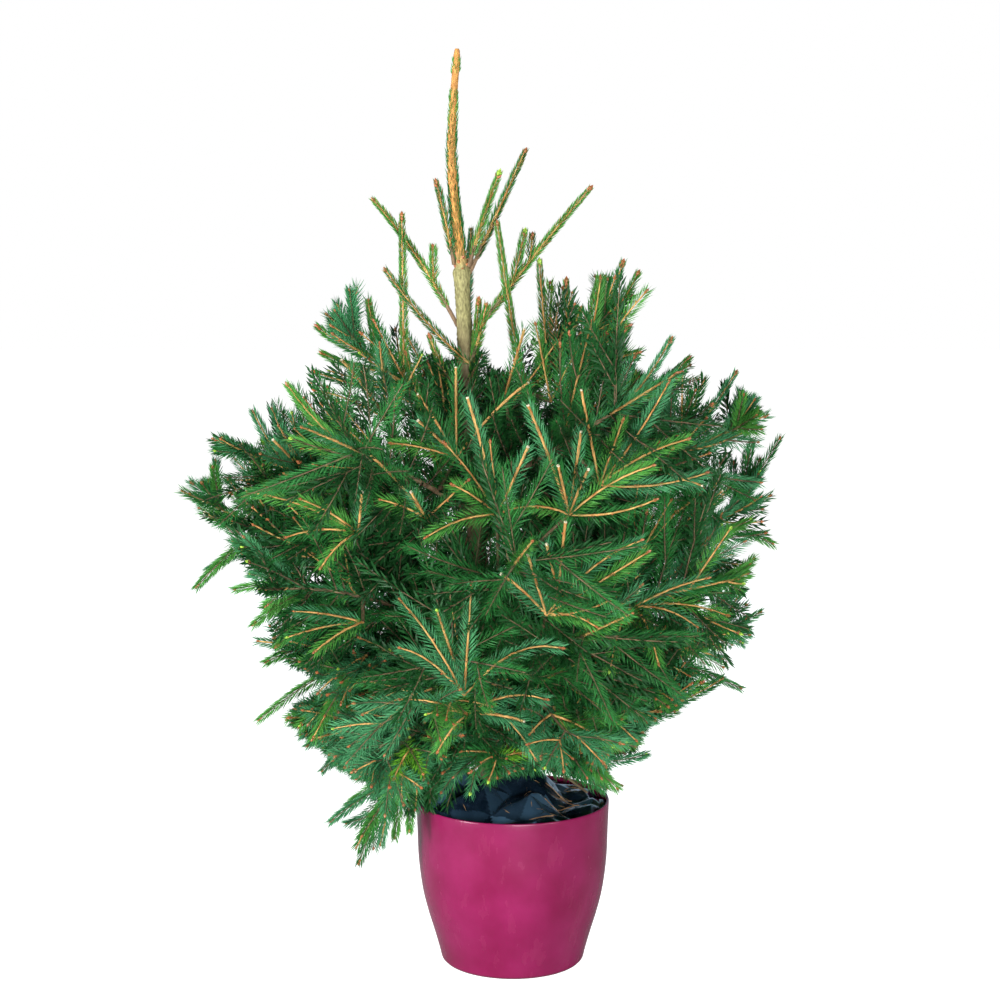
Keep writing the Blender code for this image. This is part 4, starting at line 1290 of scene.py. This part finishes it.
pegged = fit_node(needle_tree, "GeometryNodeStoreNamedAttribute", feeds,
                  data_type="FLOAT_VECTOR", domain="POINT").outputs[0]
feeds = {"Points": pegged, "Instance": shape, "Rotation": turned_to, "Scale": size}
set_needles = fit_node(needle_tree, "GeometryNodeInstanceOnPoints", feeds).outputs[0]
feeds = {"Instances": set_needles, "Local Space": False,
         "Translation": named(needle_tree, "peg", "FLOAT_VECTOR")}
moved_out = fit_node(needle_tree, "GeometryNodeTranslateInstances", feeds).outputs[0]
end_tree(needle_tree, moved_out, wires["Finish"])

# the effect of waxy needle green: one tone that drifts between neighbouring sprays and needles
needle_green, greens = new_effect("needle_green", (
    ("Deep", "Color", (0.01, 0.1, 0.02, 1.0)), ("Pale", "Color", (0.05, 0.3, 0.06, 1.0))),
    (("Color", "Color"), ("Single", "Float")))
single = patches(needle_green, 620.0, 2.0, 0.30, 0.70)
drift = patches(needle_green, 13.0, 3.0, 0.34, 0.66)
both = fit_node(needle_green, "ShaderNodeMath", {0: drift, 1: single}, operation="ADD").outputs[0]
half_way = fit_node(needle_green, "ShaderNodeMath", {0: both, 1: 0.5}, operation="MULTIPLY").outputs[0]
green_tone = blend_tones(needle_green, half_way, greens["Deep"], greens["Pale"])
fit_node(needle_green, "NodeGroupOutput", {"Color": green_tone, "Single": single})


def needle_look(name, deep, pale):
    """One of the needle greens, with a soft waxy shine."""
    made, tree, shader = new_finish(name, 0.20)
    feeds = {"Deep": (*deep, 1.0), "Pale": (*pale, 1.0)}
    green = fit_node(tree, "ShaderNodeGroup", feeds, node_tree=needle_green).outputs
    paint(tree, shader, green["Color"], green["Single"], 0.42, 0.62)
    return made


for number, tone in enumerate(TONES):
    finish = needle_look(tone + "_needle_green", *NEEDLE_TONES[tone])
    spacing = NEEDLE_SPACING[tone]
    parts, filled = [[]], 0.0
    for points, face, thick, needle, parting, lay in brushes[tone]:
        count = run_length(points) / spacing
        if filled + count > PIECE_NEEDLES:
            parts.append([])
            filled = 0.0
        filled += count
        values = {"face": face, "thick": thick, "needle": needle, "parting": parting, "lay": lay}
        parts[-1].append((points, values))
    for part, rows in enumerate(parts):
        settings = {"Needle": needle_shape, "Spacing": spacing, "Seed": 10 * number + part,
                    "Width": SHADE_WIDTH if tone == "shade" else NEEDLE_WIDTH, **NEEDLE_LAY}
        grow_piece(f"{tone}_needles_{part + 1}", rows, needle_tree, finish, settings, spray_names)
bpy.data.objects.remove(needle_shape)


# Buds: red-brown scaly cones at the shoot tips and nodes, and a few that have burst pale green.
# Each is a small pointed form of two twisted rings, set on its point with its own heading and size.
BUD_RINGS = ((0.0, 0.26), (0.42, 0.38))
BUD_SIDES = 5
BUD_TONES = {"brown": ((0.16, 0.045, 0.016, 1.0), (0.42, 0.150, 0.050, 1.0)),
             "green": ((0.16, 0.28, 0.020, 1.0), (0.40, 0.62, 0.080, 1.0))}


def ring_corners(rings, sides, twist):
    """Corners of rings given as (height, radius), each turned by a part of a side from the last."""
    corners = []
    for ring, (height, radius) in enumerate(rings):
        for step in range(sides):
            angle = tau * (step + ring * twist) / sides
            corners.append((radius * cos(angle), radius * sin(angle), height))
    return corners


def two_toned(name, gloss, scale, detail, tones, rough, smooth):
    """A finish of two tones in fine patches, the second of them the smoother."""
    made, tree, shader = new_finish(name, gloss)
    mask = patches(tree, scale, detail, 0.35, 0.65)
    paint(tree, shader, blend_tones(tree, mask, *tones), mask, rough, smooth)
    return made


bud_corners = [*ring_corners(BUD_RINGS, BUD_SIDES, 0.5), (0.0, 0.0, 1.0)]
bud_sides = [(i, (i + 1) % BUD_SIDES) for i in range(BUD_SIDES)]
bud_faces = [tuple(range(BUD_SIDES - 1, -1, -1))]
for a, b in bud_sides:
    bud_faces += [(a, b, a + BUD_SIDES), (b, b + BUD_SIDES, a + BUD_SIDES)]
bud_faces += [(a + BUD_SIDES, b + BUD_SIDES, len(bud_corners) - 1) for a, b in bud_sides]
bud_shape = add_object("bud_shape", mesh_from("bud", bud_corners, bud_faces, smooth=False))

point_tree, wires = new_tree("pieces_on_points", (("Piece", "Object", None), ("Finish", "Material", None)))
feeds = {0: named(point_tree, "heading", "FLOAT_VECTOR"), 1: (0.31, 0.52, 0.79)}
turned_to = fit_node(point_tree, "FunctionNodeAxesToRotation", feeds,
                     primary_axis="Z", secondary_axis="X").outputs[0]
feeds = {"Object": wires["Piece"], "As Instance": True}
shape = fit_node(point_tree, "GeometryNodeObjectInfo", feeds).outputs["Geometry"]
feeds = {"Points": wires["Geometry"], "Instance": shape, "Rotation": turned_to,
         "Scale": named(point_tree, "size", "FLOAT_VECTOR")}
set_pieces = fit_node(point_tree, "GeometryNodeInstanceOnPoints", feeds).outputs[0]
end_tree(point_tree, set_pieces, wires["Finish"])

for kind, placed in buds.items():
    rows = [([point], {"heading": heading, "size": Vector((size, size, size))})
            for point, heading, size in placed]
    scales = two_toned(kind + "_bud_scales", 0.4, 900.0, 2.0, BUD_TONES[kind], 0.62, 0.40)
    grow_piece(kind + "_buds", rows, point_tree, scales, {"Piece": bud_shape})
bpy.data.objects.remove(bud_shape)


# Cut ends: where shears took a shoot's tip, the pale sappy wood shows as a small round face with a
# thin rim of bark.
CUT_RINGS = ((0.0, 1.06), (0.8, 1.12), (1.0, 1.0))
CUT_SIDES = 10
CUT_DEPTH = 0.0016
CUT_SUNK = 0.0004
CUT_TONES = ((0.54, 0.44, 0.29, 1.0), (0.78, 0.70, 0.55, 1.0))
cut_faces = [tuple(range(CUT_SIDES - 1, -1, -1)), tuple(range(2 * CUT_SIDES, 3 * CUT_SIDES))]
for ring in (0, CUT_SIDES):
    for i in range(CUT_SIDES):
        after = (i + 1) % CUT_SIDES
        cut_faces.append((ring + i, ring + after, ring + CUT_SIDES + after, ring + CUT_SIDES + i))
cut_mesh = mesh_from("cut", ring_corners(CUT_RINGS, CUT_SIDES, 0.0), cut_faces, smooth=False)
cut_shape = add_object("cut_shape", cut_mesh)
rows = [([point - heading * CUT_SUNK], {"heading": heading, "size": Vector((radius, radius, CUT_DEPTH))})
        for point, heading, radius in cuts]
cut_wood = two_toned("cut_wood", 0.3, 800.0, 3.0, CUT_TONES, 0.75, 0.55)
grow_piece("cut_ends", rows, point_tree, cut_wood, {"Piece": cut_shape})
bpy.data.objects.remove(cut_shape)


# Litter: a few dried twiglets and fallen needles, tan and grey-brown, that lie on the film.
# The twiglets wander in short steps, and each needle follows the slope it has fallen on.
LITTER_TWIGS = 7
LITTER_NEEDLES = 80
LITTER_REACH = 0.106
LITTER_STEPS = 5
LITTER_STEP = 0.009
TWIG_REST = 0.0022
NEEDLE_REST = 0.0012
FALLEN_SIZE = Vector((0.0010, 0.0010, 0.0120))
draw = random.Random(63)
rows = []
for step in range(LITTER_TWIGS):
    turn, reach = radians(draw.uniform(-110, 40)), LITTER_REACH * draw.uniform(0.40, 0.92)
    x, y = reach * cos(turn), reach * sin(turn)
    way, points = draw.uniform(0.0, tau), []
    for joint in range(LITTER_STEPS):
        if hypot(x, y) < LITTER_REACH:
            points.append(Vector((x, y, film_height(x, y) + TWIG_REST)))
        x, y = x + LITTER_STEP * cos(way), y + LITTER_STEP * sin(way)
        way += draw.uniform(-0.5, 0.5)
    if len(points) > 1:
        rows.append((points, {"thick": draw.uniform(0.0005, 0.0008)}))
dried = bark_look("dried_twig", (0.10, 0.055, 0.028, 1.0), (0.34, 0.20, 0.10, 1.0), (0.20, 0.14, 0.08, 1.0))
grow_piece("dried_twigs", rows, twig_tree, dried, {"Sides": TWIG_SIDES})

rows = []
for step in range(LITTER_NEEDLES):
    turn, reach = draw.uniform(0.0, tau), LITTER_REACH * sqrt(draw.random())
    x, y = reach * cos(turn), reach * sin(turn)
    way = draw.uniform(0.0, tau)
    ahead = Vector((cos(way), sin(way), 0.0))
    end_height = film_height(x + ahead.x * FALLEN_SIZE.z, y + ahead.y * FALLEN_SIZE.z)
    point = Vector((x, y, film_height(x, y) + NEEDLE_REST))
    ahead.z = (end_height + NEEDLE_REST - point.z) / FALLEN_SIZE.z
    rows.append(([point], {"heading": ahead.normalized(), "size": FALLEN_SIZE}))
fallen_shape = add_object("fallen_shape", needle_mesh)
fallen = needle_look("fallen_needle", (0.060, 0.035, 0.015), (0.20, 0.12, 0.05))
grow_piece("fallen_needles", rows, point_tree, fallen, {"Piece": fallen_shape})
bpy.data.objects.remove(fallen_shape)


# Studio: a plain pale floor that runs to the horizon and soft white light all round. Soft boxes stand
# tall at the front left, broad by the camera, small at the right, overhead, and cool and wide behind.
FLOOR = ((-14, -8, -0.0004), (14, -8, -0.0004), (14, 20, -0.0004), (-14, 20, -0.0004))
PAPER = ((0.44, 0.44, 0.44, 1.0), (0.46, 0.46, 0.46, 1.0))
FLOOR_GLOW = 1.0
ROOM_LIGHT = 0.17
OPAQUE_WHITE = (1.0, 1.0, 1.0, 1.0)
WHITE = (1.0, 1.0, 1.0)
COOL_WHITE = (0.50, 0.76, 1.0)
LIGHTS = (("tall_left", (-2.2, -1.6, 0.95), 0.4, 1.6, 115.0, WHITE),
          ("broad_front", (0.5, -2.9, 0.50), 1.2, 0.8, 108.0, WHITE),
          ("fill_right", (1.6, -1.7, 0.7), 0.3, 0.8, 14.0, WHITE),
          ("back_top", (0.2, 1.6, 2.8), 2.2, 1.4, 30.0, WHITE),
          ("back_wall", (0.0, 3.2, 0.9), 5.0, 1.7, 18.0, COOL_WHITE))
LIGHT_AIM = Vector((-0.03, 0.0, 0.45))
CAMERA_DROP = 6.7
SENSOR_WIDTH = 36.0
FOCAL_LENGTH = 71.06


def shown_to_camera(tree, plain, seen):
    """One shader for the light that falls on things, and another where the camera looks."""
    to_camera = fit_node(tree, "ShaderNodeLightPath").outputs["Is Camera Ray"]
    return fit_node(tree, "ShaderNodeMixShader", {0: to_camera, 1: plain, 2: seen}).outputs[0]


floor_mesh = mesh_from("studio_floor", FLOOR, [(0, 1, 2, 3)])
studio_floor = add_object("studio_floor", floor_mesh)
floor_finish, tree, shader = new_finish("white_paper", 0.1, {"Roughness": 0.9})
paper = blend_tones(tree, patches(tree, 3.0, 2.0, 0.3, 0.7), *PAPER)
tree.links.new(paper, shader.inputs["Base Color"])
feeds = {"Color": OPAQUE_WHITE, "Strength": FLOOR_GLOW}
lit = fit_node(tree, "ShaderNodeEmission", feeds).outputs[0]
both = fit_node(tree, "ShaderNodeAddShader", {0: shader.outputs[0], 1: lit}).outputs[0]
shown = shown_to_camera(tree, shader.outputs[0], both)
tree.links.new(shown, tree.nodes["Material Output"].inputs["Surface"])
floor_mesh.materials.append(floor_finish)
studio_floor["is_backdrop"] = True

for name, place, wide, tall, power, tint in LIGHTS:
    lamp = bpy.data.lights.new(name, "AREA")
    lamp.shape = "RECTANGLE"
    lamp.size = wide
    lamp.size_y = tall
    lamp.energy = power
    lamp.color = tint
    holder = add_object(name, lamp)
    holder.location = place
    holder.rotation_euler = (LIGHT_AIM - Vector(place)).to_track_quat("-Z", "Y").to_euler()

world = bpy.data.worlds.new("white_room")
world.use_nodes = True
tree = world.node_tree
room = tree.nodes["Background"]
room.inputs["Color"].default_value = OPAQUE_WHITE
room.inputs["Strength"].default_value = ROOM_LIGHT
feeds = {"Color": OPAQUE_WHITE, "Strength": 1.0}
backdrop = fit_node(tree, "ShaderNodeBackground", feeds).outputs[0]
shown = shown_to_camera(tree, room.outputs[0], backdrop)
tree.links.new(shown, tree.nodes["World Output"].inputs["Surface"])
bpy.context.scene.world = world
bpy.context.scene.view_settings.view_transform = "Standard"

camera = add_object("studio_camera", bpy.data.cameras.new("studio_camera"))
camera.location = (VIEW_MIDDLE, -VIEW_DEPTH, VIEW_HEIGHT)
camera.rotation_euler = (radians(90.0 - CAMERA_DROP), 0.0, 0.0)
camera.data.sensor_width = SENSOR_WIDTH
camera.data.lens = FOCAL_LENGTH
bpy.context.scene.camera = camera
